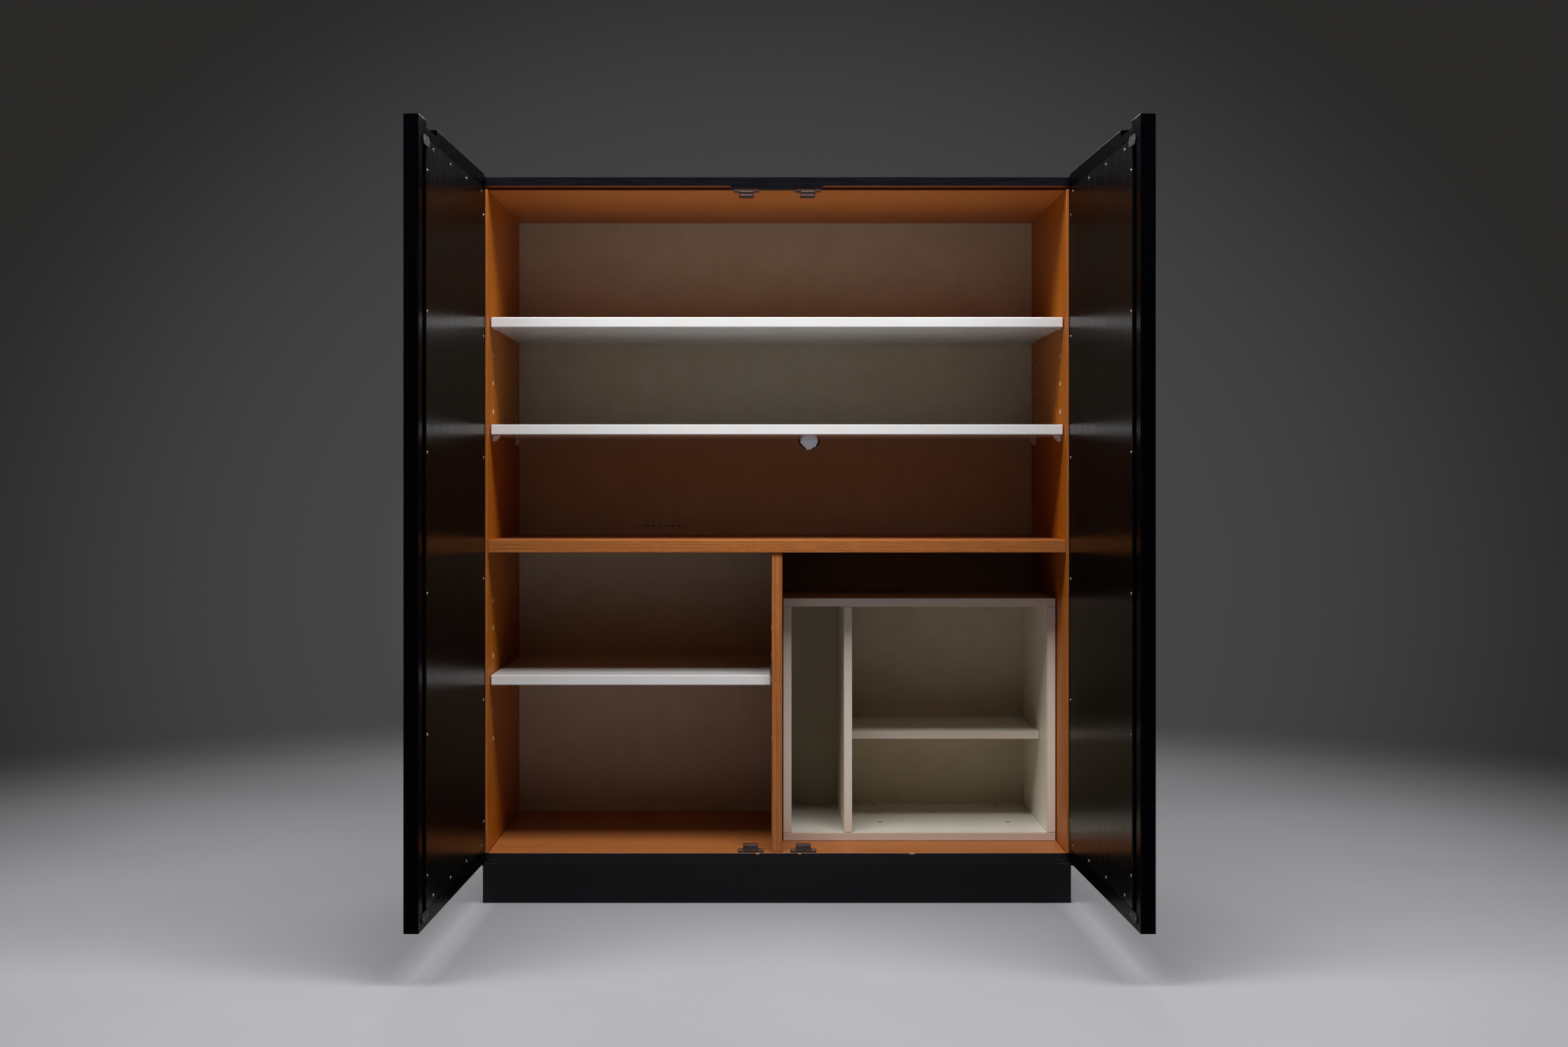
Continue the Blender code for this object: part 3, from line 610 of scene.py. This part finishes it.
def laminate(node, colours, gloss, joint, seed):
    """Laminate for one board: its colours, and how dark its arris lines are: joints, partly painted shade.
    """
    material, shade = new_material(f"laminate_{node}")
    local, half = board_space(shade, node)
    front = local.axis("y") + half.y
    clouds = local.noise(CLOUD_SCALE + seed).rise(*CLOUD_RANGE)
    marks = front.rise(MARK_DEPTH, 0.0) * local.noise(MARK_SCALE, detail=4.0).rise(*MARK_RANGE)
    colour = weighted((clouds, marks), AGED_SHARES).blend(colours["face"], colours["aged"])
    band = (local.noise(BAND_SCALE) * BAND_AGED).blend(colours["band"], colours["aged"])
    colour = (front < BAND_THICK).blend(colour, band)
    gaps = face_gaps(local, half)
    seam = abs(front - BAND_THICK) < BAND_SEAM
    # Dark lines along every arris: joints, and in part painted shade for the creases between boards.
    edge = arris_distance(gaps).rise(JOINT_SHADE_LINE, 0.0)
    colour = (seam * SEAM_SHARE | edge * joint).blend(colour, colours["joint"])
    colour = ((gaps[0] & gaps[1] & gaps[2]) > CORE_DEPTH).blend(colour, colours["core"])
    peel = local.noise(PEEL_SCALE, detail=1.0)
    bumps = relief(peel, PEEL_DEPTH, strength=0.2)
    return feed(material, Base_Color=colour, Roughness=gloss + peel * PEEL_GLOSS, Normal=bumps)


white_boards = ("upper_shelf", "second_shelf", "lower_shelf")
for seed, node in enumerate(white_boards):
    cover(node, laminate(node, WHITE_TONES, WHITE_GLOSS, WHITE_JOINT_SHADE, seed))
for seed, node in enumerate(nodes_of_body["insert_box"]):
    colours = INSERT_FLOOR_TONES if node == "insert_bottom" else CREAM_TONES
    cover(node, laminate(node, colours, CREAM_GLOSS, CREAM_JOINT_SHADE, CREAM_SEED + seed))
print("laminated boards:", len(white_boards) + len(nodes_of_body["insert_box"]))

# %% [markdown]
# ## The painted back
# The back is hardboard, painted off-white on the inside and bare outside. Paint on hardboard is mottled,
# and this one has a broken line of dark scuffs on the left, just above the middle shelf. Around the cable
# hole the paint has flaked off and the brown board shows. Both marks are masks around a place on the board,
# because noise alone would put them anywhere.

# %% Painted hardboard
PAINT_TONES = tones(thin=(205, 191, 165), thick=(217, 205, 182), scuff=(34, 25, 19), flaked=(84, 56, 34))
PAINT_SHARES = (0.6, 0.4)
PAINT_RANGE = (0.3, 0.7)
PAINT_GLOSS = 0.5
PAINT_GLOSS_SPREAD = 0.2
PAINT_DEPTH = 0.00004
BARE_TONES = tones(dark=(96, 66, 40), light=(134, 98, 64))
BARE_SCALE = 300.0
MOTTLE_SCALE = 16.0
BRUSH_SQUEEZE = (0.06, 1.0, 1.0)
BRUSH_SCALE = 420.0
SCUFF_AT = (-0.247, 0.698)
SCUFF_SIZE = (0.062, 0.0026)
SCUFF_CORE = (0.7, 0.4)
SCUFF_SHARE = 0.9
ALONG_ONLY = (1.0, 0.0, 0.0)
WANDER_SCALE = 90.0
WANDER_HEIGHT = 0.008
DASH_SCALE = 150.0
DASH_RANGE = (0.47, 0.56)
HOLE_AT = (0.071, 0.881)
HOLE_FLAKED = (0.0245, 0.0215)
HOLE_SCALE = 240.0
HOLE_RAGGED = 0.006


def painted_hardboard(node):
    """Off-white paint with scuffs in front, bare brown board behind."""
    material, shade = new_material("painted_hardboard")
    local, half = board_space(shade, node)
    low, high = turned_box(node)
    middle = (low + high) / 2
    x, z = local.axis("x"), local.axis("z")
    mottle = local.noise(MOTTLE_SCALE, detail=4.0, roughness=0.6)
    brush = local.stretched(BRUSH_SQUEEZE).noise(BRUSH_SCALE)
    tone = weighted((mottle, brush), PAINT_SHARES).rise(*PAINT_RANGE)
    paint = tone.blend(PAINT_TONES["thin"], PAINT_TONES["thick"])

    along = local.stretched(ALONG_ONLY)
    wander = (along.noise(WANDER_SCALE, detail=1.0) - 0.5) * WANDER_HEIGHT
    across = abs(x + (middle.x - SCUFF_AT[0])).rise(SCUFF_SIZE[0], SCUFF_SIZE[0] * SCUFF_CORE[0])
    up = abs(z + (middle.z - SCUFF_AT[1]) + wander).rise(SCUFF_SIZE[1], SCUFF_SIZE[1] * SCUFF_CORE[1])
    dashes = along.noise(DASH_SCALE).rise(*DASH_RANGE)
    paint = (across * up * dashes * SCUFF_SHARE).blend(paint, PAINT_TONES["scuff"])

    across = x + (middle.x - HOLE_AT[0])
    up = z + (middle.z - HOLE_AT[1])
    square = across * across + up * up
    ragged = square.maths("SQRT", square) + (local.noise(HOLE_SCALE) - 0.5) * HOLE_RAGGED
    paint = ragged.rise(*HOLE_FLAKED).blend(paint, PAINT_TONES["flaked"])

    fibre = local.noise(BARE_SCALE, detail=5.0, roughness=0.7)
    bare = fibre.blend(BARE_TONES["dark"], BARE_TONES["light"])
    colour = (local.axis("y") > FACE - half.y).blend(paint, bare)
    feed(material, Base_Color=colour, Roughness=PAINT_GLOSS + mottle * PAINT_GLOSS_SPREAD)
    return feed(material, Normal=relief(brush, PAINT_DEPTH, strength=0.4))


cover("back_panel", painted_hardboard("back_panel"))
print("back painted, scuffs at", SCUFF_AT)

# %% [markdown]
# ## Plastic and metal
# Small parts of one kind share a finish: at their size, a slow noise for the tone and a fine one for the
# surface are enough. The white shelf supports and the brown catches are moulded plastic. The metal parts are
# old: nickel with brownish tarnish in patches, dark steel on the hinges, and strike plates that have gone so
# dull and brown that little of their metal shine is left.

# %% Small-part finishes
PLASTIC_SCALE = 120.0
PLASTIC_RANGE = (0.3, 0.7)
PLASTIC_SKIN = 1800.0
PLASTIC_GLOSS_SPREAD = 0.1
PLASTIC_DEPTH = 0.00003
TARNISH_SCALE = 320.0
TARNISH_RANGE = (0.45, 0.65)
SCRATCH_SCALE = 2600.0
METAL_GLOSS_SHARES = (0.2, 0.08)
METAL_DEPTH = 0.00002
PLATE_METAL = 0.25
PLATE_SHEEN = 0.10


def moulded(name, dark, light, gloss):
    """Moulded plastic between two display colours."""
    material, shade = new_material(name)
    point = shade.node("ShaderNodeTexCoord", output="Object")
    colour = point.noise(PLASTIC_SCALE).rise(*PLASTIC_RANGE).blend(display(*dark), display(*light))
    skin = point.noise(PLASTIC_SKIN, detail=1.0)
    feed(material, Base_Color=colour, Roughness=gloss + skin * PLASTIC_GLOSS_SPREAD)
    return feed(material, Normal=relief(skin, PLASTIC_DEPTH, strength=0.3))


def tarnished(name, bright, tarnish, gloss):
    """Old metal of one display colour, with patches of tarnish in another."""
    material, shade = new_material(name)
    point = shade.node("ShaderNodeTexCoord", output="Object")
    patches = point.noise(TARNISH_SCALE, detail=4.0, roughness=0.65).rise(*TARNISH_RANGE)
    scratches = point.noise(SCRATCH_SCALE, detail=2.0)
    colour = patches.blend(display(*bright), display(*tarnish))
    rough = gloss + weighted((patches, scratches), METAL_GLOSS_SHARES)
    bumps = relief(scratches, METAL_DEPTH, strength=0.3)
    return feed(material, Base_Color=colour, Roughness=rough, Metallic=1.0, Normal=bumps)


white_plastic = moulded("white_plastic", (222, 216, 202), (236, 232, 224), gloss=0.35)
brown_plastic = moulded("brown_plastic", (54, 24, 17), (78, 38, 27), gloss=0.36)
# Dark plastic for the plugs that paint the shade inside the empty bores.
bore_shade = moulded("socket_shade_plug", (30, 20, 14), (46, 32, 24), gloss=0.7)
nickel = tarnished("aged_nickel", (184, 170, 152), (108, 82, 60), gloss=0.28)
dark_steel = tarnished("dark_steel", (70, 70, 72), (36, 33, 31), gloss=0.36)
pole_steel = tarnished("pole_steel", (104, 96, 92), (60, 53, 50), gloss=0.40)
plate_steel = tarnished("plate_steel", (52, 45, 38), (32, 25, 20), gloss=0.36)
feed(plate_steel, Metallic=PLATE_METAL, Specular_IOR_Level=PLATE_SHEEN)
shared = {"white_plastic": white_plastic, "brown_plastic": brown_plastic, "aged_nickel": nickel,
          "dark_steel": dark_steel}
for part in frame["record"]["subparts"]:
    if part["material_slot"] in shared:
        cover(part["node"], shared[part["material_slot"]])
for end in door_turn:
    for row in ("top", "bottom"):
        cover(f"{end}_{row}_strike", plate_steel)
print("shared finishes:", sorted(shared))

# %% [markdown]
# ## Turned shapes
# Screw heads and the bushes of the shelf pegs are round, so each is a profile turned about its axis with
# `spin`. A cylinder could be bevelled into much the same shape, but a profile says at once how the rim and
# the dome run. It starts and ends on the axis or at one and the same point, so the turned shape is closed.

# %% Turn a profile into a shape
SPIN_STEPS = 18
MERGE = 0.00001


def turned_shape(profile):
    """A bmesh of a profile of (radius, height) points, spun round the Z axis into a closed shape."""
    work = bmesh.new()
    rim = [work.verts.new((radius, 0, height)) for radius, height in profile]
    edges = [work.edges.new(pair) for pair in zip(rim, rim[1:])]
    bmesh.ops.spin(work, geom=rim + edges, cent=(0, 0, 0), axis=(0, 0, 1), angle=math.tau,
                   steps=SPIN_STEPS, use_merge=True)
    bmesh.ops.remove_doubles(work, verts=work.verts, dist=MERGE)
    bmesh.ops.recalc_face_normals(work, faces=work.faces)
    return work


def shape_of(name, work):
    """A mesh with the shape of a bmesh, which is then let go."""
    mesh = bpy.data.meshes.new(name)
    work.to_mesh(mesh)
    work.free()
    return mesh


print("a full turn has", SPIN_STEPS, "steps")

# %% [markdown]
# ## A slotted screw head
# Round-headed screws hold the doors' inner panels, and flatter ones hold the fittings. A head's profile runs
# out under the seat, up the rim and over the dome. Three cuts with `bisect_plane` mark the sides and the
# floor of the slot. The strip between them is extruded, its new corners drop to the level of the floor, and
# the old strip is deleted, so the slot is open. A boolean cut would do as well, but it needs a second object
# for the blade.

# %% Make a screw head
SCREW_RADIUS = 0.0026
SCREW_RISE = 0.0016
SCREW_SLOT = 0.0009
SEAT = 0.0003
DOME_ANGLES = [math.radians(angle) for angle in (0, 25, 50, 72)]
SLOT_LEVEL = 0.35


def slotted_head(radius, rise, slot):
    """A round-headed screw with a slot; it sits at z = 0 and reaches a little below that."""
    dome = [(radius * math.cos(angle), rise * math.sin(angle)) for angle in DOME_ANGLES]
    work = turned_shape([(0, -SEAT), (radius, -SEAT)] + dome + [(0, rise)])
    level = rise * SLOT_LEVEL
    cuts = [((-slot / 2, 0, 0), (1, 0, 0)), ((slot / 2, 0, 0), (1, 0, 0)), ((0, 0, level), (0, 0, 1))]
    for point, normal in cuts:
        everything = work.verts[:] + work.edges[:] + work.faces[:]
        bmesh.ops.bisect_plane(work, geom=everything, plane_co=point, plane_no=normal)
    middles = {face: face.calc_center_median() for face in work.faces}
    strip = [face for face, middle in middles.items() if abs(middle.x) < slot / 2 and middle.z > level]
    grown = bmesh.ops.extrude_face_region(work, geom=strip)["geom"]
    for part in grown:
        if isinstance(part, bmesh.types.BMVert):
            part.co.z = level
    bmesh.ops.delete(work, geom=strip, context="FACES")
    bmesh.ops.remove_doubles(work, verts=work.verts, dist=MERGE)
    bmesh.ops.recalc_face_normals(work, faces=work.faces)
    return shape_of("head", work)


screw_head = slotted_head(SCREW_RADIUS, SCREW_RISE, SCREW_SLOT)
print("screw head with", len(screw_head.polygons), "faces")

# %% [markdown]
# ## Copies that ride on a body
# Many small fittings are one shape at several places. Each place is a matrix, and the copies are joined into
# one mesh, because one object for each screw would fill the list of pieces. The object rides on the body
# that carries it, so the screws of a door swing with the door. Faces are smooth, except across edges that
# bend more than `SMOOTH_ANGLE`.

# %% Make a piece of copies
SMOOTH_ANGLE = math.radians(35)


def copies(shape, places):
    """One bmesh with a copy of a mesh at each place."""
    work = bmesh.new()
    for place in places:
        copy = shape.copy()
        copy.transform(place)
        work.from_mesh(copy)
        bpy.data.meshes.remove(copy)
    return work


def new_piece(name, work, body, material):
    """Make a bmesh an object that rides on a body, with its finish."""
    for face in work.faces:
        face.smooth = True
    for edge in work.edges:
        edge.smooth = edge.calc_face_angle(0.0) < SMOOTH_ANGLE
    mesh = shape_of(name, work)
    mesh.materials.append(material)
    piece = bpy.data.objects.new(name, mesh)
    bpy.context.scene.collection.objects.link(piece)
    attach(piece, body)
    print(name, "on", body, "with", len(mesh.polygons), "faces")


print("edges stay sharp from", round(math.degrees(SMOOTH_ANGLE)), "degrees on")

# %% [markdown]
# ## Twenty screws on each door
# The screws of an inner panel run along its top and bottom and up its two sides. Their places are measured
# from the door's free edge and its ends, in the door's own directions, and then turned with the door. Nobody
# lines screws up, so each copy is turned on by the golden angle: the slots all differ, and no random draw is
# needed.

# %% Screws in the inner panels
ROW_FROM_FREE = (0.106, 0.241, 0.376, 0.513)
ROW_FROM_END = 0.0375
COLUMN_FROM_FREE = (0.062, 0.536)
COLUMN_FROM_END = 0.0780
COLUMN_COUNT = 6
GOLDEN_ANGLE = math.radians(137.5)


def on_door(end, spot):
    """A spot given in a door's own directions, as a place whose Z axis points out of the inner face."""
    turn = Matrix.Rotation(door_turn[end], 4, "Z")
    return turn @ Matrix.Translation(spot) @ Matrix.Rotation(-QUARTER_TURN, 4, "X")


for end in door_turn:
    low, high = turned_box(f"{end}_free_stile")
    free = high.x if end == "left" else low.x
    spots = [(across, z) for across in ROW_FROM_FREE for z in (low.z + ROW_FROM_END, high.z - ROW_FROM_END)]
    first, last = low.z + COLUMN_FROM_END, high.z - COLUMN_FROM_END
    heights = [first + (last - first) * step / (COLUMN_COUNT - 1) for step in range(COLUMN_COUNT)]
    spots += [(across, z) for across in COLUMN_FROM_FREE for z in heights]
    places = []
    for count, (across, z) in enumerate(spots):
        place = on_door(end, (free + door_side[end] * across, high.y, z))
        places.append(place @ Matrix.Rotation(GOLDEN_ANGLE * count, 4, "Z"))
    new_piece(f"{end}_panel_screws", copies(screw_head, places), f"{end}_door", nickel)

# %% [markdown]
# ## Magnetic catches
# A magnetic catch is a plastic case with two steel pole bars across its front, which grip the strike plate
# on the door. The bars are boxes, bevelled because no real edge is quite sharp. They stand less than a
# millimetre proud, so the shut door still clears them. Two small screws hold each case by its ears.

# %% Pole bars and their screws
POLE_HEIGHT = 0.0030
POLE_PROUD = 0.0008
POLE_SUNK = 0.0020
POLE_MARGIN = 0.0020
POLE_SHARE = (0.36, 0.80)
POLE_BEVEL = 0.0004
EAR_SCREW_RADIUS = 0.0026
EAR_SCREW_RISE = 0.0012
EAR_MARGIN = 0.0048
EAR_THICK = 0.005
CATCH_CASE_WIDTH = 0.028

ear_head = slotted_head(EAR_SCREW_RADIUS, EAR_SCREW_RISE, SCREW_SLOT)
size = (CATCH_CASE_WIDTH - 2 * POLE_MARGIN, POLE_PROUD + POLE_SUNK, POLE_HEIGHT)
bars = bmesh.new()
ear_places = []
for row, up in (("top", -1), ("bottom", 1)):
    flip = Matrix.Rotation(0 if up > 0 else math.pi, 4, "X")
    for end in door_turn:
        low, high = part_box(f"{row}_catch_{end}")
        base = high.z if up < 0 else low.z
        middle = (low.x + high.x) / 2
        for share in POLE_SHARE:
            spot = (middle, low.y + (POLE_SUNK - POLE_PROUD) / 2, base + up * share * (high.z - low.z))
            place = Matrix.Translation(spot) @ Matrix.Diagonal((*size, 1.0))
            bar = bmesh.ops.create_cube(bars, size=1.0, matrix=place)["verts"]
            rims = list({edge for corner in bar for edge in corner.link_edges})
            bmesh.ops.bevel(bars, geom=rims, offset=POLE_BEVEL, affect="EDGES", segments=2, profile=0.5,
                            material=-1)
        for side in (-1, 1):
            x = middle + side * ((high.x - low.x) / 2 - EAR_MARGIN)
            spot = (x, (low.y + high.y) / 2, base + up * EAR_THICK)
            ear_places.append(Matrix.Translation(spot) @ flip)
new_piece("catch_pole_bars", bars, "carcass", pole_steel)
new_piece("catch_screws", copies(ear_head, ear_places), "carcass", nickel)

# %% [markdown]
# ## Screws of the strike plates
# Two screws hold each strike plate on its door. The plate comes close to the pole bars when the door shuts,
# so these heads are the same shape made flat: they stand a quarter of a millimetre proud.

# %% Strike plate screws
STRIKE_SCREW_RADIUS = 0.0024
STRIKE_SCREW_RISE = 0.00025
STRIKE_SCREW_SPREAD = 0.015

strike_head = slotted_head(STRIKE_SCREW_RADIUS, STRIKE_SCREW_RISE, SCREW_SLOT)
for end in door_turn:
    places = []
    for row in ("top", "bottom"):
        low, high = turned_box(f"{end}_{row}_strike")
        for side in (-1, 1):
            x = (low.x + high.x) / 2 + side * STRIKE_SCREW_SPREAD
            places.append(on_door(end, (x, high.y, (low.z + high.z) / 2)))
    new_piece(f"{end}_strike_screws", copies(strike_head, places), f"{end}_door", nickel)

# %% [markdown]
# ## Spare sockets for the shelf pegs
# The pegs sit in white plastic bushes, and the empty ones show as pale rings on the sides and the divider:
# three between the pegs of the two upper shelves, and five at an even pitch around the lower shelf's pegs.
# A ring is a closed profile spun round its axis. A dark plug a little below its rim is painted shade: it
# stands for the shaded inside of the empty bore, because the board behind it is a solid CAD node that is
# never cut here.

# %% Rings of the spare sockets, and plugs of painted shade in their bores
UPPER_STEPS = 4
UPPER_SHIFT = -0.0026
LOWER_PITCH = 0.0524
LOWER_SHIFT = -0.0070
LOWER_STEPS = (-2, -1, 1, 2, 3)
SOCKET_RADIUS = 0.0046
SOCKET_BORE = 0.0025
SOCKET_PROUD = 0.0004
RIM_CHAMFER = 0.0004
BORE_CHAMFER = 0.0003
BORE_OVERLAP = 0.0002
BORE_REACH = SOCKET_BORE + BORE_OVERLAP
BORE_LEVEL = 0.0001


def middle_of(node):
    """The middle of a node's box."""
    low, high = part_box(node)
    return (low + high) / 2


def socket_places(wall, side, heights):
    """Places on a wall, in the two rows of the shelf pegs; side is where the wall's face looks."""
    turn = Matrix.Rotation(side * QUARTER_TURN, 4, "Y")
    rows = [middle_of(f"second_shelf_support_left_{row}").y for row in ("front", "rear")]
    return [Matrix.Translation((wall, y, z)) @ turn for z in heights for y in rows]


second_peg = middle_of("second_shelf_support_left_front").z
upper_peg = middle_of("upper_shelf_support_left_front").z
lower_peg = middle_of("lower_shelf_support_left_front").z + LOWER_SHIFT
upper_heights = [second_peg + UPPER_SHIFT + (upper_peg - second_peg) * step / UPPER_STEPS
                 for step in range(1, UPPER_STEPS)]
lower_heights = [lower_peg + LOWER_PITCH * step for step in LOWER_STEPS]
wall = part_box("side_left")[1].x
places = socket_places(wall, 1, upper_heights + lower_heights)
places += socket_places(-wall, -1, upper_heights)
places += socket_places(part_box("centre_divider")[0].x, -1, lower_heights)

ring = [(SOCKET_BORE, -SEAT), (SOCKET_RADIUS, -SEAT), (SOCKET_RADIUS, SOCKET_PROUD / 2),
        (SOCKET_RADIUS - RIM_CHAMFER, SOCKET_PROUD), (SOCKET_BORE + BORE_CHAMFER, SOCKET_PROUD),
        (SOCKET_BORE, SOCKET_PROUD / 2)]
plug = [(0, -SEAT), (BORE_REACH, -SEAT), (BORE_REACH, BORE_LEVEL), (0, BORE_LEVEL)]
ring_mesh = shape_of("ring", turned_shape(ring + ring[:1]))
plug_mesh = shape_of("plug", turned_shape(plug))
new_piece("spare_sockets", copies(ring_mesh, places), "carcass", white_plastic)
new_piece("spare_socket_shade_plugs", copies(plug_mesh, places), "carcass", bore_shade)

# %% [markdown]
# ## Screws of the hinge leaves
# Two flat screws hold each leaf on the cabinet's top. They are the same head again, wide and low: they stay
# lower than the door leaves, so the cabinet grows no taller.

# %% Leaf screws
LEAF_SCREW_RADIUS = 0.0040
LEAF_SCREW_RISE = 0.0006
LEAF_SCREW_BACK = (0.018, 0.040)

leaf_head = slotted_head(LEAF_SCREW_RADIUS, LEAF_SCREW_RISE, SCREW_SLOT)
places = []
for end in door_turn:
    low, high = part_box(f"top_leaf_{end}")
    for back in LEAF_SCREW_BACK:
        places.append(Matrix.Translation(((low.x + high.x) / 2, carcass_front + back, high.z)))
new_piece("leaf_screws", copies(leaf_head, places), "carcass", dark_steel)

# %% [markdown]
# ## Camera
# The camera stands where the photograph was taken: a little left of the middle, a little above half the
# cabinet's height, looking straight at the back. The lines that run into the depth meet at one pixel of the
# picture. The camera looks straight along them, so that pixel gives its shift. Turning the camera instead
# would make the cabinet's upright lines lean.

# %% The photograph's camera
PICTURE_WIDTH = 2247
PICTURE_HEIGHT = 1500
FOCAL_PIXELS = 2619.0
VANISHING_X = 1095.0
VANISHING_Y = 700.0
CAMERA_AHEAD = 3.397
CAMERA_X = -0.024
CAMERA_Z = 0.776

lens = bpy.data.cameras.new("camera")
lens.lens = FOCAL_PIXELS / PICTURE_WIDTH * lens.sensor_width
lens.shift_x = (PICTURE_WIDTH / 2 - VANISHING_X) / PICTURE_WIDTH
lens.shift_y = (VANISHING_Y - PICTURE_HEIGHT / 2) / PICTURE_WIDTH
camera = bpy.data.objects.new("camera", lens)
camera.location = (CAMERA_X, carcass_front - CAMERA_AHEAD, CAMERA_Z)
camera.rotation_euler = (QUARTER_TURN, 0, 0)
bpy.context.scene.collection.objects.link(camera)
bpy.context.scene.camera = camera
print("lens", round(lens.lens, 2), "mm, shift", round(lens.shift_x, 4), round(lens.shift_y, 4))

# %% [markdown]
# ## Floor
# The floor is a wide pale disc. Far out it turns clear, so that it runs into the backdrop colour of the
# world with no hard line. A sheet swept up behind the cabinet would hide that line as well, but also the
# cabinet's back when it is looked at from there.

# %% A pale floor
FLOOR_RADIUS = 14.0
FLOOR_SIDES = 96
FLOOR_FADE = (1.0, 3.1)
FLOOR_TONES = tones(dark=(163, 163, 167), light=(177, 177, 181))
FLOOR_SCALE = 1.5
FLOOR_GLOSS = 0.55
FLOOR_GLOSS_SPREAD = 0.1

ground = bmesh.new()
bmesh.ops.create_circle(ground, cap_ends=True, radius=FLOOR_RADIUS, segments=FLOOR_SIDES)
floor_mesh = shape_of("floor", ground)
floor = bpy.data.objects.new("floor", floor_mesh)
bpy.context.scene.collection.objects.link(floor)

floor_finish, shade = new_material("pale_floor")
floor_tree = floor_finish.node_tree
point = shade.node("ShaderNodeTexCoord", output="Object")
mottle = point.noise(FLOOR_SCALE, detail=4.0)
colour = mottle.blend(FLOOR_TONES["dark"], FLOOR_TONES["light"])
feed(floor_finish, Base_Color=colour, Roughness=FLOOR_GLOSS + mottle * FLOOR_GLOSS_SPREAD)
away = point.node("ShaderNodeVectorMath", {"operation": "LENGTH"}, {0: point}, "Value")
clear = shade.node("ShaderNodeBsdfTransparent")
solid = Shade(floor_tree, floor_tree.nodes["Principled BSDF"].outputs[0])
mixed = shade.node("ShaderNodeMixShader", {}, {0: away.rise(*FLOOR_FADE), 1: solid, 2: clear})
floor_tree.links.new(mixed.socket, floor_tree.nodes["Material Output"].inputs[0])
floor_mesh.materials.append(floor_finish)
print("floor", 2 * FLOOR_RADIUS, "m wide, clear from", FLOOR_FADE[1], "m out")

# %% [markdown]
# ## Backdrop
# The backdrop is a dark grey that grows lighter behind the cabinet, with a soft glow low in the middle. It
# is the colour of the world, not a wall, so that nothing stands in the way of other views. The camera sees
# it, and so do reflections and clear surfaces. For all other rays a faint even fill takes its place, so the
# glow shines on no dull surface.

# %% The world around it
BACKDROP_FAR = display(42, 41, 40)
BACKDROP_NEAR = display(69, 69, 69)
BACKDROP_GLOW = display(118, 118, 124)
NEAR_SPREAD = (0.20, 0.03)
GLOW_SPREAD = (0.045, 0.0)
GLOW_DROP = 0.05
GLOW_SQUASH = 1.4
BEHIND = (0.0, 0.3)
FILL = display(34, 32, 30)

world = bpy.data.worlds.new("studio")
world.use_nodes = True
shade = Shade(world.node_tree)
rays = [shade.node("ShaderNodeLightPath", output=f"Is {kind} Ray")
        for kind in ("Camera", "Glossy", "Transmission")]
direction = shade.node("ShaderNodeTexCoord", output="Generated")
across = direction.axis("x")
up = direction.axis("z") + GLOW_DROP
spread = across * across + up * up * GLOW_SQUASH
behind = direction.axis("y").rise(*BEHIND)
backdrop = (spread.rise(*NEAR_SPREAD) * behind).blend(BACKDROP_FAR, BACKDROP_NEAR)
backdrop = (spread.rise(*GLOW_SPREAD) * behind).blend(backdrop, BACKDROP_GLOW)
seen = (rays[0] | rays[1] | rays[2]).blend(FILL, backdrop)
world.node_tree.links.new(seen.socket, world.node_tree.nodes["Background"].inputs["Color"])
bpy.context.scene.world = world
print("backdrop nodes:", len(world.node_tree.nodes))

# %% [markdown]
# ## Lamps
# One large soft lamp hangs above and ahead of the open doors. It is wide because a small lamp would draw
# hard shadows under the shelves. A weak one behind the cabinet keeps its back from going black when it is
# looked at from there.

# %% Two soft lamps
LAMP_AT = (0.0, -1.15, 3.1)
LAMP_AIM = (0.0, 0.0, 0.75)
LAMP_SIZE = (4.4, 1.0)
LAMP_POWER = 165.0
REAR_LAMP_AT = (0.0, 2.9, 2.6)
REAR_LAMP_AIM = (0.0, 0.2, 1.1)
REAR_LAMP_SIZE = (2.0, 0.8)
REAR_LAMP_POWER = 34.0


def soft_lamp(name, place, aim, size, power):
    """A rectangular lamp that looks at a point."""
    light = bpy.data.lights.new(name, "AREA")
    light.shape = "RECTANGLE"
    light.size, light.size_y = size
    light.energy = power
    lamp = bpy.data.objects.new(name, light)
    lamp.location = place
    lamp.rotation_euler = (Vector(aim) - Vector(place)).to_track_quat("-Z", "Y").to_euler()
    bpy.context.scene.collection.objects.link(lamp)
    print(name, power, "W at", place)


soft_lamp("front_lamp", LAMP_AT, LAMP_AIM, LAMP_SIZE, LAMP_POWER)
soft_lamp("rear_lamp", REAR_LAMP_AT, REAR_LAMP_AIM, REAR_LAMP_SIZE, REAR_LAMP_POWER)
bpy.context.scene.view_settings.view_transform = "Standard"

# %% [markdown]
# ## The end
# The finished cabinet must be no bigger than the frame it was built on.
